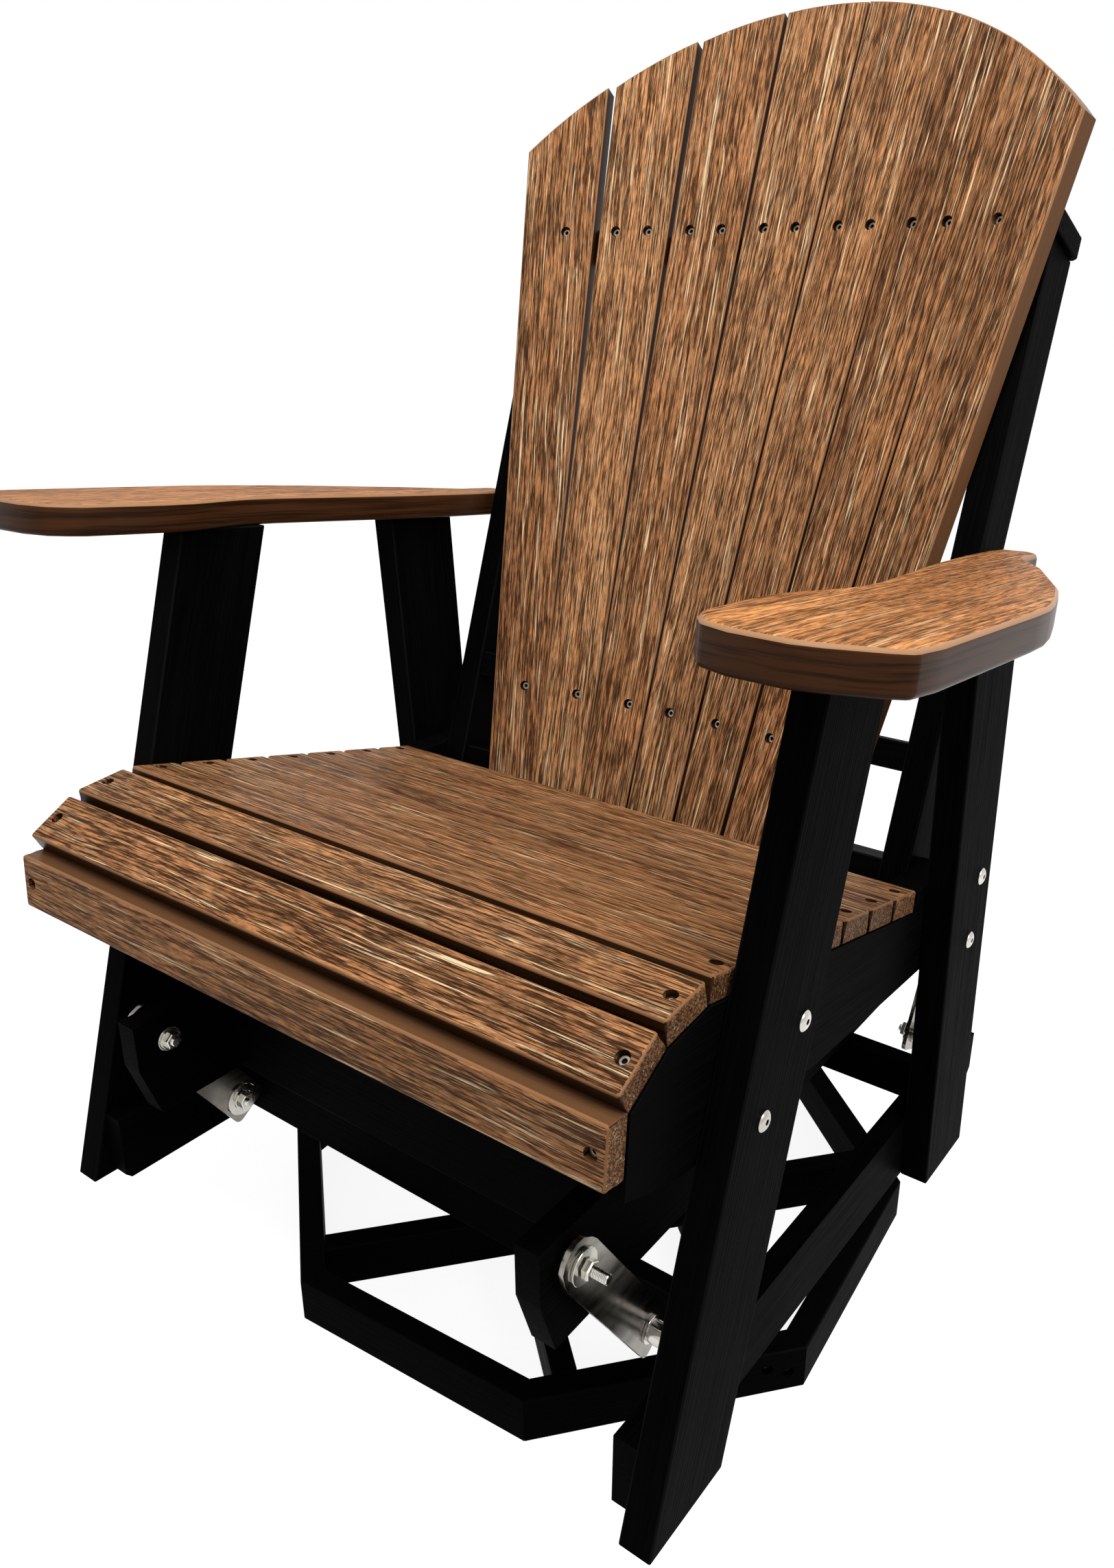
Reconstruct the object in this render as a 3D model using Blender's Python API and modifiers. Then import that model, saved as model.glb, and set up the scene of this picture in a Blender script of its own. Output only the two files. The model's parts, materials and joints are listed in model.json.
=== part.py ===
# Adirondack swivel glider, in metres with +Z up and its front towards -Y.
# The origin is on the floor under the middle of the whole. Left is the sitter's left, +X.

import math

import bmesh
import bpy
from mathutils import Matrix, Vector

# Fits
FIT = 0.0003
PIVOT_CLEARANCE = 0.0004
OPEN_PIVOT_CLEARANCE = 0.0022

# Base ring and floor beams
RING_OUTER_RADIUS = 0.3154
RING_WALL = 0.0224
RING_HEIGHT = 0.0434
RING_SIDES = 8
BASE_HEADING = math.radians(49.52)
BEAM_THICKNESS = 0.0215
LONG_BEAM_PLACE = -0.0762
CROSS_BEAM_PLACE = 0.0822

# Pedestal and swivel
PEDESTAL_APOTHEM = 0.080
PEDESTAL_WALL = 0.0254
SWIVEL_PLATE_SIDE = 0.120
SWIVEL_PLATE_THICKNESS = 0.003
SWIVEL_PIN_RADIUS = 0.012
SWIVEL_DISC_RADIUS = 0.060
SWIVEL_AXIS_Y = -0.0084

# Swivel frame
FRAME_HALF_WIDTH = 0.2253
FRAME_BOARD = 0.0206
FRAME_TOP = 0.2962
FRAME_DEPTH = 0.0917
FRAME_NOSE = 0.0427
FRAME_SNIP = 0.0155
FRAME_END_MARGIN = 0.0315
CROSS_BOARD = 0.0216
CROSS_SETBACK = 0.1005
CENTRE_BOARD_WIDTH = 0.150

# Four hangers
HANGER_LENGTH = 0.150
HANGER_WIDTH = 0.039
HANGER_PLATE = 0.004
HANGER_STANDOFF = 0.0072
HANGER_TAIL = 0.019
HANGER_CORNER = 0.006
FRONT_HANGER_ANGLE = math.radians(33.9)
FRAME_PIVOT_Y = -0.3265
FRAME_PIVOT_Z = 0.2714
FRAME_PIVOT_SPAN = 0.653
CHAIR_PIVOT_INSET = 0.1475

# Pivot bolts
BOLT_RADIUS = 0.004
BOLT_HEAD_RADIUS = 0.009
BOLT_HEAD_LENGTH = 0.006
NUT_RADIUS = 0.0085
NUT_LENGTH = 0.0065
WASHER_RADIUS = 0.016
WASHER_THICKNESS = 0.0025
SPACER_RADIUS = 0.012
HUB_RADIUS = 0.010
BOLT_SETBACK = 0.001
BOLT_STEPS = 16

# Chair, drawn level: its front lower pivot, then boards from the outside in
CHAIR_PIVOT_Y = -0.24924
CHAIR_PIVOT_Z = 0.14282
LEG_INSIDE = 0.2946
LEG_BOARD = 0.0255
FOOT_HEIGHT = 0.0925
FRONT_FOOT_Y = -0.3723
FRONT_LEG_WIDTH = 0.0915
FRONT_LEG_LEAN = math.radians(16.1)
REAR_FOOT_Y = 0.0935
REAR_LEG_WIDTH = 0.0878
REAR_LEG_LEAN = math.radians(-4.9)

# Bottom rails and stretchers
RAIL_BOARD = 0.0191
RAIL_DEPTH = 0.065
RAIL_FRONT_Y = -0.352
RAIL_SHORTFALL = 0.031
RAIL_SNIP = 0.006
RAIL_REAR_SNIP = 0.024
FRONT_STRETCHER_Y = -0.2062
FRONT_STRETCHER_DEPTH = 0.0438
STRETCHER_BOARD = 0.019
REAR_STRETCHER_Y = 0.118
REAR_STRETCHER_DEPTH = 0.038

# Seat
SEAT_SLATS = 10
SEAT_HALF_LENGTH = 0.2925
SEAT_SLAT_WIDTH = 0.0447
SEAT_SLAT_GAP = 0.005
SLAT_BOARD = 0.019
SEAT_PEAK_Y = -0.2826
SEAT_PEAK_Z = 0.4786
SEAT_FALL = math.radians(-12.4)
NOSE_TILTS = (math.radians(7.5), math.radians(30.8), math.radians(86.8))
NOSE_GAP_SHARES = (0.4, 0.12, 0.12)
SEAT_SIDE_BOARD = 0.0252
SEAT_SIDE_DROP = 0.0139
SEAT_SIDE_REAR_Y = 0.120
SEAT_SIDE_LOW_Z = 0.3203
SEAT_SIDE_EDGE_SHARES = (
    (1.0, 0.0),
    (0.908, 0.0),
    (0.7, 0.105),
    (0.504, 0.217),
    (0.3, 0.39),
    (0.126, 0.576),
    (0.1, 0.66),
    (0.055, 0.80),
)

# Arms
ARM_BOARD = 0.0254
ARM_FRONT_Y = -0.338
ARM_FRONT_Z = 0.7075
ARM_FALL = math.radians(-4.45)
ARM_LENGTH = 0.5558
ARM_WIDTH = 0.139
ARM_INSIDE = 0.271
ARM_OUTLINE_SHARES = (
    (0.072, 0.069),
    (0.115, 0.045),
    (0.187, 0.020),
    (0.338, 0.004),
    (0.59, 0.0),
    (0.705, 0.009),
    (0.906, 0.036),
    (0.978, 0.051),
    (1.0, 0.10),
    (0.995, 0.369),
    (0.986, 0.423),
    (0.957, 0.467),
    (0.885, 0.541),
    (0.813, 0.606),
    (0.669, 0.696),
    (0.511, 0.794),
    (0.324, 0.877),
    (0.266, 0.910),
    (0.259, 0.985),
    (0.187, 1.0),
    (0.022, 0.991),
    (0.0, 0.946),
    (0.007, 0.823),
    (0.043, 0.696),
    (0.144, 0.490),
    (0.173, 0.430),
    (0.173, 0.374),
    (0.144, 0.335),
    (0.094, 0.291),
    (0.05, 0.248),
    (0.036, 0.193),
    (0.05, 0.130),
)

# Back frame: stiles and the rails square to them
STILE_BOARD = 0.0254
STILE_WIDTH = 0.0585
STILE_LEAN = math.radians(18.0)
STILE_FRONT_Y = 0.1230
STILE_FRONT_Z = 0.501
STILE_BELOW = 0.180
STILE_ABOVE = 0.4346
UPPER_RAIL_BOARD = 0.019
UPPER_RAIL_HALF = 0.2745
UPPER_RAIL_CLIP = 0.004
LOWER_RAIL_BOARD = 0.0254
LOWER_RAIL_PLACE = -0.009
FOOT_RAIL_PLACE = -0.113

# Back slats: a fan, hollow towards the sitter
BACK_SLATS = 7
BACK_SLAT_GAP = 0.0027
BACK_LOW_Z = 0.4819
BACK_LOW_Y = 0.1252
BACK_LOW_RADIUS = 0.95
BACK_LOW_PITCH = 0.0596
BACK_HIGH_Z = 0.9278
BACK_HIGH_Y = 0.2839
BACK_HIGH_RADIUS = 0.62
BACK_HIGH_PITCH = 0.0774
BACK_SLAT_FOOT_Z = 0.345
BACK_CROWN_Z = 1.1236
BACK_CROWN_RADIUS = 0.39
BACK_CROWN_STEPS = 6

# Steps of a bored hole
HOLE_STEPS = 24

SIDES = (("left", 1), ("right", -1))
UPRIGHT = (math.radians(90), 0, math.radians(90))
LOOKS = {
    "tan_board": ((0.19, 0.095, 0.045, 1), 0.55, 0.0),
    "black_board": ((0.006, 0.006, 0.006, 1), 0.45, 0.0),
    "polished_steel": ((0.6, 0.6, 0.6, 1), 0.18, 1.0),
    "zinc_steel": ((0.35, 0.35, 0.36, 1), 0.4, 1.0),
}


def cleared_collection(name):
    for old in list(bpy.data.objects):
        bpy.data.objects.remove(old, do_unlink=True)
    made = bpy.data.collections.new(name)
    bpy.context.scene.collection.children.link(made)
    return made


glider = cleared_collection("adirondack_swivel_glider")


# Shapes


def finished(obj, look):
    colour, roughness, metallic = LOOKS[look]
    material = bpy.data.materials.new(f"{obj.name}_{look}")
    material.use_nodes = True
    shader = material.node_tree.nodes["Principled BSDF"]
    shader.inputs["Base Color"].default_value = colour
    shader.inputs["Roughness"].default_value = roughness
    shader.inputs["Metallic"].default_value = metallic
    obj.data.materials.append(material)
    glider.objects.link(obj)
    return obj


def block(name, size, look):
    mesh = bpy.data.meshes.new(name)
    shape = bmesh.new()
    bmesh.ops.create_cube(shape, size=1, matrix=Matrix.Diagonal((*size, 1)))
    shape.to_mesh(mesh)
    shape.free()
    return finished(bpy.data.objects.new(name, mesh), look)


def circle(centre, radius, steps, start=0.0):
    turns = (start + math.tau * step / steps for step in range(steps))
    return [(centre[0] + radius * math.cos(a), centre[1] + radius * math.sin(a)) for a in turns]


def board(name, outline, thickness, look, holes=()):
    curve = bpy.data.curves.new(name, "CURVE")
    curve.dimensions = "2D"
    curve.fill_mode = "BOTH"
    curve.extrude = thickness / 2
    for points in (outline, *holes):
        spline = curve.splines.new("POLY")
        spline.points.add(len(points) - 1)
        for point, (x, y) in zip(spline.points, points):
            point.co = (x, y, 0, 1)
        spline.use_cyclic_u = True
    return finished(bpy.data.objects.new(name, curve), look)


def turned(name, stations, look):
    # Stations run from the outer end inwards: radius, outer place and inner place along the axis.
    profile = [(0.0, stations[0][1])]
    for radius, outer, inner in stations:
        profile += [(radius, outer), (radius, inner)]
    profile.append((0.0, stations[-1][2]))
    mesh = bpy.data.meshes.new(name)
    edges = [(i, i + 1) for i in range(len(profile) - 1)]
    mesh.from_pydata([(radius, 0, along) for radius, along in profile], edges, [])
    obj = finished(bpy.data.objects.new(name, mesh), look)
    screw = obj.modifiers.new("turn", "SCREW")
    screw.steps = BOLT_STEPS
    screw.render_steps = BOLT_STEPS
    screw.use_merge_vertices = True
    screw.merge_threshold = 0.00001
    screw.use_smooth_shade = True
    return obj


def anchor(name, location, tilt=0.0, parent=None):
    empty = bpy.data.objects.new(name, None)
    empty.location = location
    empty.rotation_euler = (tilt, 0, 0)
    empty.parent = parent
    glider.objects.link(empty)
    return empty


def set_on(obj, parent, location, rotation=(0, 0, 0)):
    obj.parent = parent
    obj.location = location
    obj.rotation_euler = rotation
    return obj


# Linkage: the chair's pitch and the rear hangers' angle follow from the front hangers' angle

CHAIR_PIVOT_SPAN = FRAME_PIVOT_SPAN - CHAIR_PIVOT_INSET
RAIL_LENGTH = FRAME_PIVOT_SPAN - RAIL_SHORTFALL


def linkage_at_rest():
    front = Vector((FRAME_PIVOT_Y, FRAME_PIVOT_Z))
    reach = Vector((math.sin(FRONT_HANGER_ANGLE), -math.cos(FRONT_HANGER_ANGLE)))
    front_low = front + HANGER_LENGTH * reach
    rear = front + Vector((FRAME_PIVOT_SPAN, 0))
    line = rear - front_low
    along = (CHAIR_PIVOT_SPAN**2 - HANGER_LENGTH**2 + line.length_squared) / (2 * line.length)
    aside = math.sqrt(CHAIR_PIVOT_SPAN**2 - along**2)
    way = line.normalized()
    rear_low = front_low + along * way + aside * Vector((way.y, -way.x))
    chair = rear_low - front_low
    hang = rear - rear_low
    return front_low, math.atan2(chair.y, chair.x), rear, -math.atan2(hang.x, hang.y)


FRONT_LOW, CHAIR_PITCH, REAR_PIVOT, REAR_HANGER_ANGLE = linkage_at_rest()


# Heights and breadths that several pieces share

RING_INNER_RADIUS = RING_OUTER_RADIUS - RING_WALL / math.cos(math.pi / RING_SIDES)
RING_INNER_APOTHEM = RING_INNER_RADIUS * math.cos(math.pi / RING_SIDES)
FRAME_BOTTOM = FRAME_TOP - FRAME_DEPTH
FRAME_INSIDE = FRAME_HALF_WIDTH - FRAME_BOARD
FRAME_MID_Y = FRAME_PIVOT_Y + FRAME_PIVOT_SPAN / 2
FRAME_REACH = FRAME_PIVOT_SPAN / 2 + FRAME_END_MARGIN
UPPER_PLATE_Z = FRAME_BOTTOM - FIT - SWIVEL_PLATE_THICKNESS / 2
LOWER_PLATE_Z = UPPER_PLATE_Z - SWIVEL_PLATE_THICKNESS - FIT
PEDESTAL_TOP = LOWER_PLATE_Z - SWIVEL_PLATE_THICKNESS / 2 - FIT
PEDESTAL_FOOT = RING_HEIGHT + FIT
HANGER_INSIDE = FRAME_HALF_WIDTH + HANGER_STANDOFF
HANGER_OUTSIDE = HANGER_INSIDE + HANGER_PLATE
LEG_MIDDLE = LEG_INSIDE + LEG_BOARD / 2
BOARDS_OUTSIDE = LEG_INSIDE - FIT
RAIL_INSIDE = BOARDS_OUTSIDE - RAIL_BOARD
RAIL_TOP = FOOT_HEIGHT + RAIL_DEPTH
SEAT_SIDE_INSIDE = BOARDS_OUTSIDE - SEAT_SIDE_BOARD
STILE_OUTSIDE = SEAT_SIDE_INSIDE - FIT
STILE_INSIDE = STILE_OUTSIDE - STILE_BOARD
CHAIR_PIVOT = Vector((0, CHAIR_PIVOT_Y, CHAIR_PIVOT_Z))

# Axes that the moving bodies turn about, with every y from here on taken from the swivel

swivel_axis = anchor("swivel_axis", (0, SWIVEL_AXIS_Y, 0))
front_place = (0, FRAME_PIVOT_Y, FRAME_PIVOT_Z)
front_axis = anchor("front_hanger_axis", front_place, FRONT_HANGER_ANGLE, swivel_axis)
rear_place = (0, REAR_PIVOT.x, REAR_PIVOT.y)
rear_axis = anchor("rear_hanger_axis", rear_place, REAR_HANGER_ANGLE, swivel_axis)
chair_axis = anchor("chair_axis", (0, FRONT_LOW.x, FRONT_LOW.y), CHAIR_PITCH, swivel_axis)


def on_chair(obj, location, rotation=(0, 0, 0)):
    return set_on(obj, chair_axis, Vector(location) - CHAIR_PIVOT, rotation)


# Base


def beam_outline(places, notch_from_top):
    half = RING_INNER_APOTHEM - FIT
    slot = BEAM_THICKNESS / 2 + FIT
    middle = RING_HEIGHT / 2
    edge = RING_HEIGHT if notch_from_top else 0.0
    floor = middle - FIT / 2 if notch_from_top else middle + FIT / 2
    far = RING_HEIGHT - edge
    notches = []
    for place in places:
        notches += [
            (place + slot, edge),
            (place + slot, floor),
            (place - slot, floor),
            (place - slot, edge),
        ]
    return [(-half, edge), (-half, far), (half, far), (half, edge), *notches]


def make_base():
    start = BASE_HEADING + math.pi / RING_SIDES
    outer = circle((0, 0), RING_OUTER_RADIUS, RING_SIDES, start)
    inner = circle((0, 0), RING_INNER_RADIUS, RING_SIDES, start)
    ring = board("base_ring", outer, RING_HEIGHT, "black_board", [inner])
    set_on(ring, swivel_axis, (0, 0, RING_HEIGHT / 2))
    turned_heading = BASE_HEADING + math.pi / 2
    long_outline = beam_outline((CROSS_BEAM_PLACE, -CROSS_BEAM_PLACE), True)
    cross_outline = beam_outline((LONG_BEAM_PLACE,), False)
    for name, outline, heading, offset in (
        ("base_beam_01", long_outline, BASE_HEADING, LONG_BEAM_PLACE),
        ("base_beam_02", cross_outline, turned_heading, CROSS_BEAM_PLACE),
        ("base_beam_03", cross_outline, turned_heading, -CROSS_BEAM_PLACE),
    ):
        beam = board(name, outline, BEAM_THICKNESS, "black_board")
        across = (-math.sin(heading) * offset, math.cos(heading) * offset, 0)
        set_on(beam, swivel_axis, across, (math.radians(90), 0, heading))
    outside = PEDESTAL_APOTHEM / math.cos(math.pi / RING_SIDES)
    inside = outside - PEDESTAL_WALL / math.cos(math.pi / RING_SIDES)
    post = board(
        "base_pedestal",
        circle((0, 0), outside, RING_SIDES, start),
        PEDESTAL_TOP - PEDESTAL_FOOT,
        "black_board",
        [circle((0, 0), inside, RING_SIDES, start)],
    )
    set_on(post, swivel_axis, (0, 0, (PEDESTAL_TOP + PEDESTAL_FOOT) / 2))


def make_swivel():
    half = SWIVEL_PLATE_SIDE / 2
    plate = board(
        "swivel_lower_plate",
        [(-half, -half), (half, -half), (half, half), (-half, half)],
        SWIVEL_PLATE_THICKNESS,
        "zinc_steel",
        [circle((0, 0), SWIVEL_PIN_RADIUS + PIVOT_CLEARANCE, HOLE_STEPS)],
    )
    set_on(plate, swivel_axis, (0, 0, LOWER_PLATE_Z), (0, 0, BASE_HEADING))
    top = UPPER_PLATE_Z + SWIVEL_PLATE_THICKNESS / 2
    under = UPPER_PLATE_Z - SWIVEL_PLATE_THICKNESS / 2
    tip = LOWER_PLATE_Z - SWIVEL_PLATE_THICKNESS
    stations = [(SWIVEL_DISC_RADIUS, top, under), (SWIVEL_PIN_RADIUS, under, tip)]
    set_on(turned("swivel_upper_plate", stations, "zinc_steel"), swivel_axis, (0, 0, 0))


# Swivel frame


def make_frame():
    front = FRAME_MID_Y - FRAME_REACH
    rear = FRAME_MID_Y + FRAME_REACH
    nose = FRAME_TOP - FRAME_NOSE
    outline = [
        (front, FRAME_TOP),
        (front, nose),
        (front + FRAME_SNIP, FRAME_BOTTOM),
        (rear - FRAME_SNIP, FRAME_BOTTOM),
        (rear, nose),
        (rear, FRAME_TOP),
    ]
    radius = BOLT_RADIUS + PIVOT_CLEARANCE
    places = ((FRAME_PIVOT_Y, FRAME_PIVOT_Z), (REAR_PIVOT.x, REAR_PIVOT.y))
    for side, sign in SIDES:
        holes = [circle(place, radius, HOLE_STEPS) for place in places]
        cheek = board(f"frame_side_{side}", outline, FRAME_BOARD, "black_board", holes)
        set_on(cheek, swivel_axis, (sign * (FRAME_HALF_WIDTH - FRAME_BOARD / 2), 0, 0), UPRIGHT)
    span = 2 * (FRAME_INSIDE - FIT)
    inset = FRAME_REACH - CROSS_SETBACK - CROSS_BOARD / 2
    for name, place in (
        ("frame_cross_front", FRAME_MID_Y - inset),
        ("frame_cross_rear", FRAME_MID_Y + inset),
    ):
        cross = block(name, (span, CROSS_BOARD, FRAME_DEPTH), "black_board")
        set_on(cross, swivel_axis, (0, place, FRAME_TOP - FRAME_DEPTH / 2))
    centre = block("frame_centre_board", (span, CENTRE_BOARD_WIDTH, CROSS_BOARD), "black_board")
    set_on(centre, swivel_axis, (0, 0, FRAME_BOTTOM + CROSS_BOARD / 2))


# Hangers and their bolts


def hanger_outline():
    half = HANGER_WIDTH / 2
    low = -HANGER_LENGTH - HANGER_TAIL
    steps = range(9)
    crown = [(half * math.cos(math.pi * s / 8), half * math.sin(math.pi * s / 8)) for s in steps]
    corner = HANGER_CORNER
    quarter = [math.radians(22.5) * s for s in range(5)]
    left = [(-half + corner * (1 - math.cos(a)), low + corner * (1 - math.sin(a))) for a in quarter]
    right = [(-x, y) for x, y in reversed(left)]
    return crown + left + right


def make_hangers():
    tight = BOLT_RADIUS + PIVOT_CLEARANCE
    loose = BOLT_RADIUS + OPEN_PIVOT_CLEARANCE
    for end, axis, low_radius in (("front", front_axis, tight), ("rear", rear_axis, loose)):
        for side, sign in SIDES:
            holes = [
                circle((0, 0), tight, HOLE_STEPS),
                circle((0, -HANGER_LENGTH), low_radius, HOLE_STEPS),
            ]
            name = f"hanger_{end}_{side}"
            plate = board(name, hanger_outline(), HANGER_PLATE, "polished_steel", holes)
            middle = HANGER_INSIDE + HANGER_PLATE / 2
            set_on(plate, axis, (sign * middle, 0, 0), UPRIGHT)


def upper_bolt_stations():
    nut_start = HANGER_OUTSIDE + FIT + WASHER_THICKNESS
    inner_washer = FRAME_INSIDE - FIT - WASHER_THICKNESS
    return [
        (NUT_RADIUS, nut_start + NUT_LENGTH, nut_start),
        (WASHER_RADIUS, nut_start, HANGER_OUTSIDE + FIT),
        (BOLT_RADIUS, HANGER_OUTSIDE + FIT, HANGER_INSIDE - FIT),
        (SPACER_RADIUS, HANGER_INSIDE - FIT, FRAME_HALF_WIDTH + FIT),
        (BOLT_RADIUS, FRAME_HALF_WIDTH + FIT, FRAME_INSIDE - FIT),
        (WASHER_RADIUS, FRAME_INSIDE - FIT, inner_washer),
        (BOLT_HEAD_RADIUS, inner_washer, inner_washer - BOLT_HEAD_LENGTH),
    ]


def lower_bolt_stations():
    washer = HANGER_OUTSIDE + FIT + WASHER_THICKNESS
    inner_washer = HANGER_INSIDE - FIT - WASHER_THICKNESS
    return [
        (BOLT_RADIUS, BOARDS_OUTSIDE - BOLT_SETBACK, RAIL_INSIDE - FIT),
        (HUB_RADIUS, RAIL_INSIDE - FIT, washer),
        (WASHER_RADIUS, washer, HANGER_OUTSIDE + FIT),
        (BOLT_RADIUS, HANGER_OUTSIDE + FIT, HANGER_INSIDE - FIT),
        (WASHER_RADIUS, HANGER_INSIDE - FIT, inner_washer),
        (BOLT_HEAD_RADIUS, inner_washer, inner_washer - BOLT_HEAD_LENGTH),
    ]


def make_bolts():
    ends = (
        ("front", front_place, (0, CHAIR_PIVOT_Y, CHAIR_PIVOT_Z)),
        ("rear", rear_place, (0, CHAIR_PIVOT_Y + CHAIR_PIVOT_SPAN, CHAIR_PIVOT_Z)),
    )
    for end, upper, lower in ends:
        for side, sign in SIDES:
            outward = (0, sign * math.radians(90), 0)
            bolt = turned(f"upper_bolt_{end}_{side}", upper_bolt_stations(), "polished_steel")
            set_on(bolt, swivel_axis, upper, outward)
            bolt = turned(f"lower_bolt_{end}_{side}", lower_bolt_stations(), "polished_steel")
            on_chair(bolt, lower, outward)


# Legs, rails and stretchers


def arm_underside(y):
    under = ARM_FRONT_Z - (ARM_BOARD + FIT) / math.cos(ARM_FALL)
    return under + math.tan(ARM_FALL) * (y - ARM_FRONT_Y)


def leg_outline(foot_y, width, lean):
    slope = math.tan(lean)
    fall = math.tan(ARM_FALL)

    def top(foot):
        rise = (arm_underside(foot) - FOOT_HEIGHT) / (1 - fall * slope)
        return (foot + slope * rise, FOOT_HEIGHT + rise)

    rear = foot_y + width
    return [(foot_y, FOOT_HEIGHT), (rear, FOOT_HEIGHT), top(rear), top(foot_y)]


def rail_outline():
    rear = RAIL_FRONT_Y + RAIL_LENGTH
    return [
        (RAIL_FRONT_Y, RAIL_TOP),
        (RAIL_FRONT_Y, FOOT_HEIGHT + RAIL_SNIP),
        (RAIL_FRONT_Y + RAIL_SNIP, FOOT_HEIGHT),
        (rear - RAIL_REAR_SNIP, FOOT_HEIGHT),
        (rear, FOOT_HEIGHT + RAIL_REAR_SNIP),
        (rear, RAIL_TOP),
    ]


def make_legs():
    front = leg_outline(FRONT_FOOT_Y, FRONT_LEG_WIDTH, FRONT_LEG_LEAN)
    rear = leg_outline(REAR_FOOT_Y, REAR_LEG_WIDTH, REAR_LEG_LEAN)
    radius = BOLT_RADIUS + PIVOT_CLEARANCE
    places = (CHAIR_PIVOT_Y, CHAIR_PIVOT_Y + CHAIR_PIVOT_SPAN)
    for side, sign in SIDES:
        leg = board(f"front_leg_{side}", front, LEG_BOARD, "black_board")
        on_chair(leg, (sign * LEG_MIDDLE, 0, 0), UPRIGHT)
        leg = board(f"rear_leg_{side}", rear, LEG_BOARD, "black_board")
        on_chair(leg, (sign * LEG_MIDDLE, 0, 0), UPRIGHT)
        holes = [circle((place, CHAIR_PIVOT_Z), radius, HOLE_STEPS) for place in places]
        rail = board(f"bottom_rail_{side}", rail_outline(), RAIL_BOARD, "black_board", holes)
        on_chair(rail, (sign * (RAIL_INSIDE + RAIL_BOARD / 2), 0, 0), UPRIGHT)
    span = 2 * (RAIL_INSIDE - FIT)
    bar = block("front_stretcher", (span, STRETCHER_BOARD, FRONT_STRETCHER_DEPTH), "black_board")
    height = FOOT_HEIGHT + FRONT_STRETCHER_DEPTH / 2
    on_chair(bar, (0, FRONT_STRETCHER_Y + STRETCHER_BOARD / 2, height))
    span = 2 * BOARDS_OUTSIDE
    bar = block("rear_stretcher", (span, STRETCHER_BOARD, REAR_STRETCHER_DEPTH), "black_board")
    height = RAIL_TOP + FIT + REAR_STRETCHER_DEPTH / 2
    on_chair(bar, (0, REAR_STRETCHER_Y + STRETCHER_BOARD / 2, height))


# Seat


def along(tilt):
    return Vector((math.cos(tilt), math.sin(tilt)))


def above(tilt):
    return Vector((-math.sin(tilt), math.cos(tilt)))


def seat_run():
    # Front upper corner and tilt of each slat, apron first.
    flat = SEAT_SLATS - len(NOSE_TILTS)
    step = SEAT_SLAT_WIDTH + SEAT_SLAT_GAP
    peak = Vector((SEAT_PEAK_Y, SEAT_PEAK_Z))
    run = [(peak + number * step * along(SEAT_FALL), SEAT_FALL) for number in range(flat)]
    for tilt, share in zip(NOSE_TILTS, NOSE_GAP_SHARES):
        corner, next_tilt = run[0]
        under = corner - SLAT_BOARD * above(next_tilt)
        under -= (share * SEAT_SLAT_GAP + SEAT_SLAT_WIDTH) * along(tilt)
        run.insert(0, (under + SLAT_BOARD * above(tilt), tilt))
    return run


def seat_side_outline(run):
    deep = SLAT_BOARD + FIT
    first, first_tilt = run[0]
    tip = first - deep * above(first_tilt) - SEAT_SIDE_DROP * along(first_tilt)
    outline = [tuple(tip)]
    bearing = len(NOSE_TILTS)
    for corner, tilt in run[: bearing + 1]:
        outline.append(tuple(corner - deep * above(tilt)))
        if tilt != SEAT_FALL:
            outline.append(tuple(corner - deep * above(tilt) + SEAT_SLAT_WIDTH * along(tilt)))
    last, fall = run[-1]
    behind = last + (SEAT_SLAT_WIDTH + FIT) * along(fall)
    outline.append(tuple(behind - deep * above(fall)))
    outline.append(tuple(behind))
    outline.append((SEAT_SIDE_REAR_Y, behind.y))
    for share, rise in SEAT_SIDE_EDGE_SHARES:
        y = tip.x + share * (SEAT_SIDE_REAR_Y - tip.x)
        outline.append((y, SEAT_SIDE_LOW_Z + rise * (tip.y - SEAT_SIDE_LOW_Z)))
    return outline


def make_seat():
    run = seat_run()
    for number, (corner, tilt) in enumerate(run, 1):
        size = (2 * SEAT_HALF_LENGTH, SEAT_SLAT_WIDTH, SLAT_BOARD)
        slat = block(f"seat_slat_{number:02d}", size, "tan_board")
        middle = corner + SEAT_SLAT_WIDTH / 2 * along(tilt) - SLAT_BOARD / 2 * above(tilt)
        on_chair(slat, (0, middle.x, middle.y), (tilt, 0, 0))
    outline = seat_side_outline(run)
    for side, sign in SIDES:
        cheek = board(f"seat_side_{side}", outline, SEAT_SIDE_BOARD, "black_board")
        on_chair(cheek, (sign * (SEAT_SIDE_INSIDE + SEAT_SIDE_BOARD / 2), 0, 0), UPRIGHT)


# Arms


def make_arms():
    for side, sign in SIDES:
        outline = [
            (sign * (ARM_INSIDE + x * ARM_WIDTH), y * ARM_LENGTH) for x, y in ARM_OUTLINE_SHARES
        ]
        arm = board(f"arm_{side}", outline, ARM_BOARD, "tan_board")
        sunk = ARM_BOARD / 2 * above(ARM_FALL)
        on_chair(arm, (0, ARM_FRONT_Y - sunk.x, ARM_FRONT_Z - sunk.y), (ARM_FALL, 0, 0))


# Back


def pitch_at(z):
    rate = (BACK_HIGH_PITCH - BACK_LOW_PITCH) / (BACK_HIGH_Z - BACK_LOW_Z)
    return BACK_LOW_PITCH + rate * (z - BACK_LOW_Z)


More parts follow.
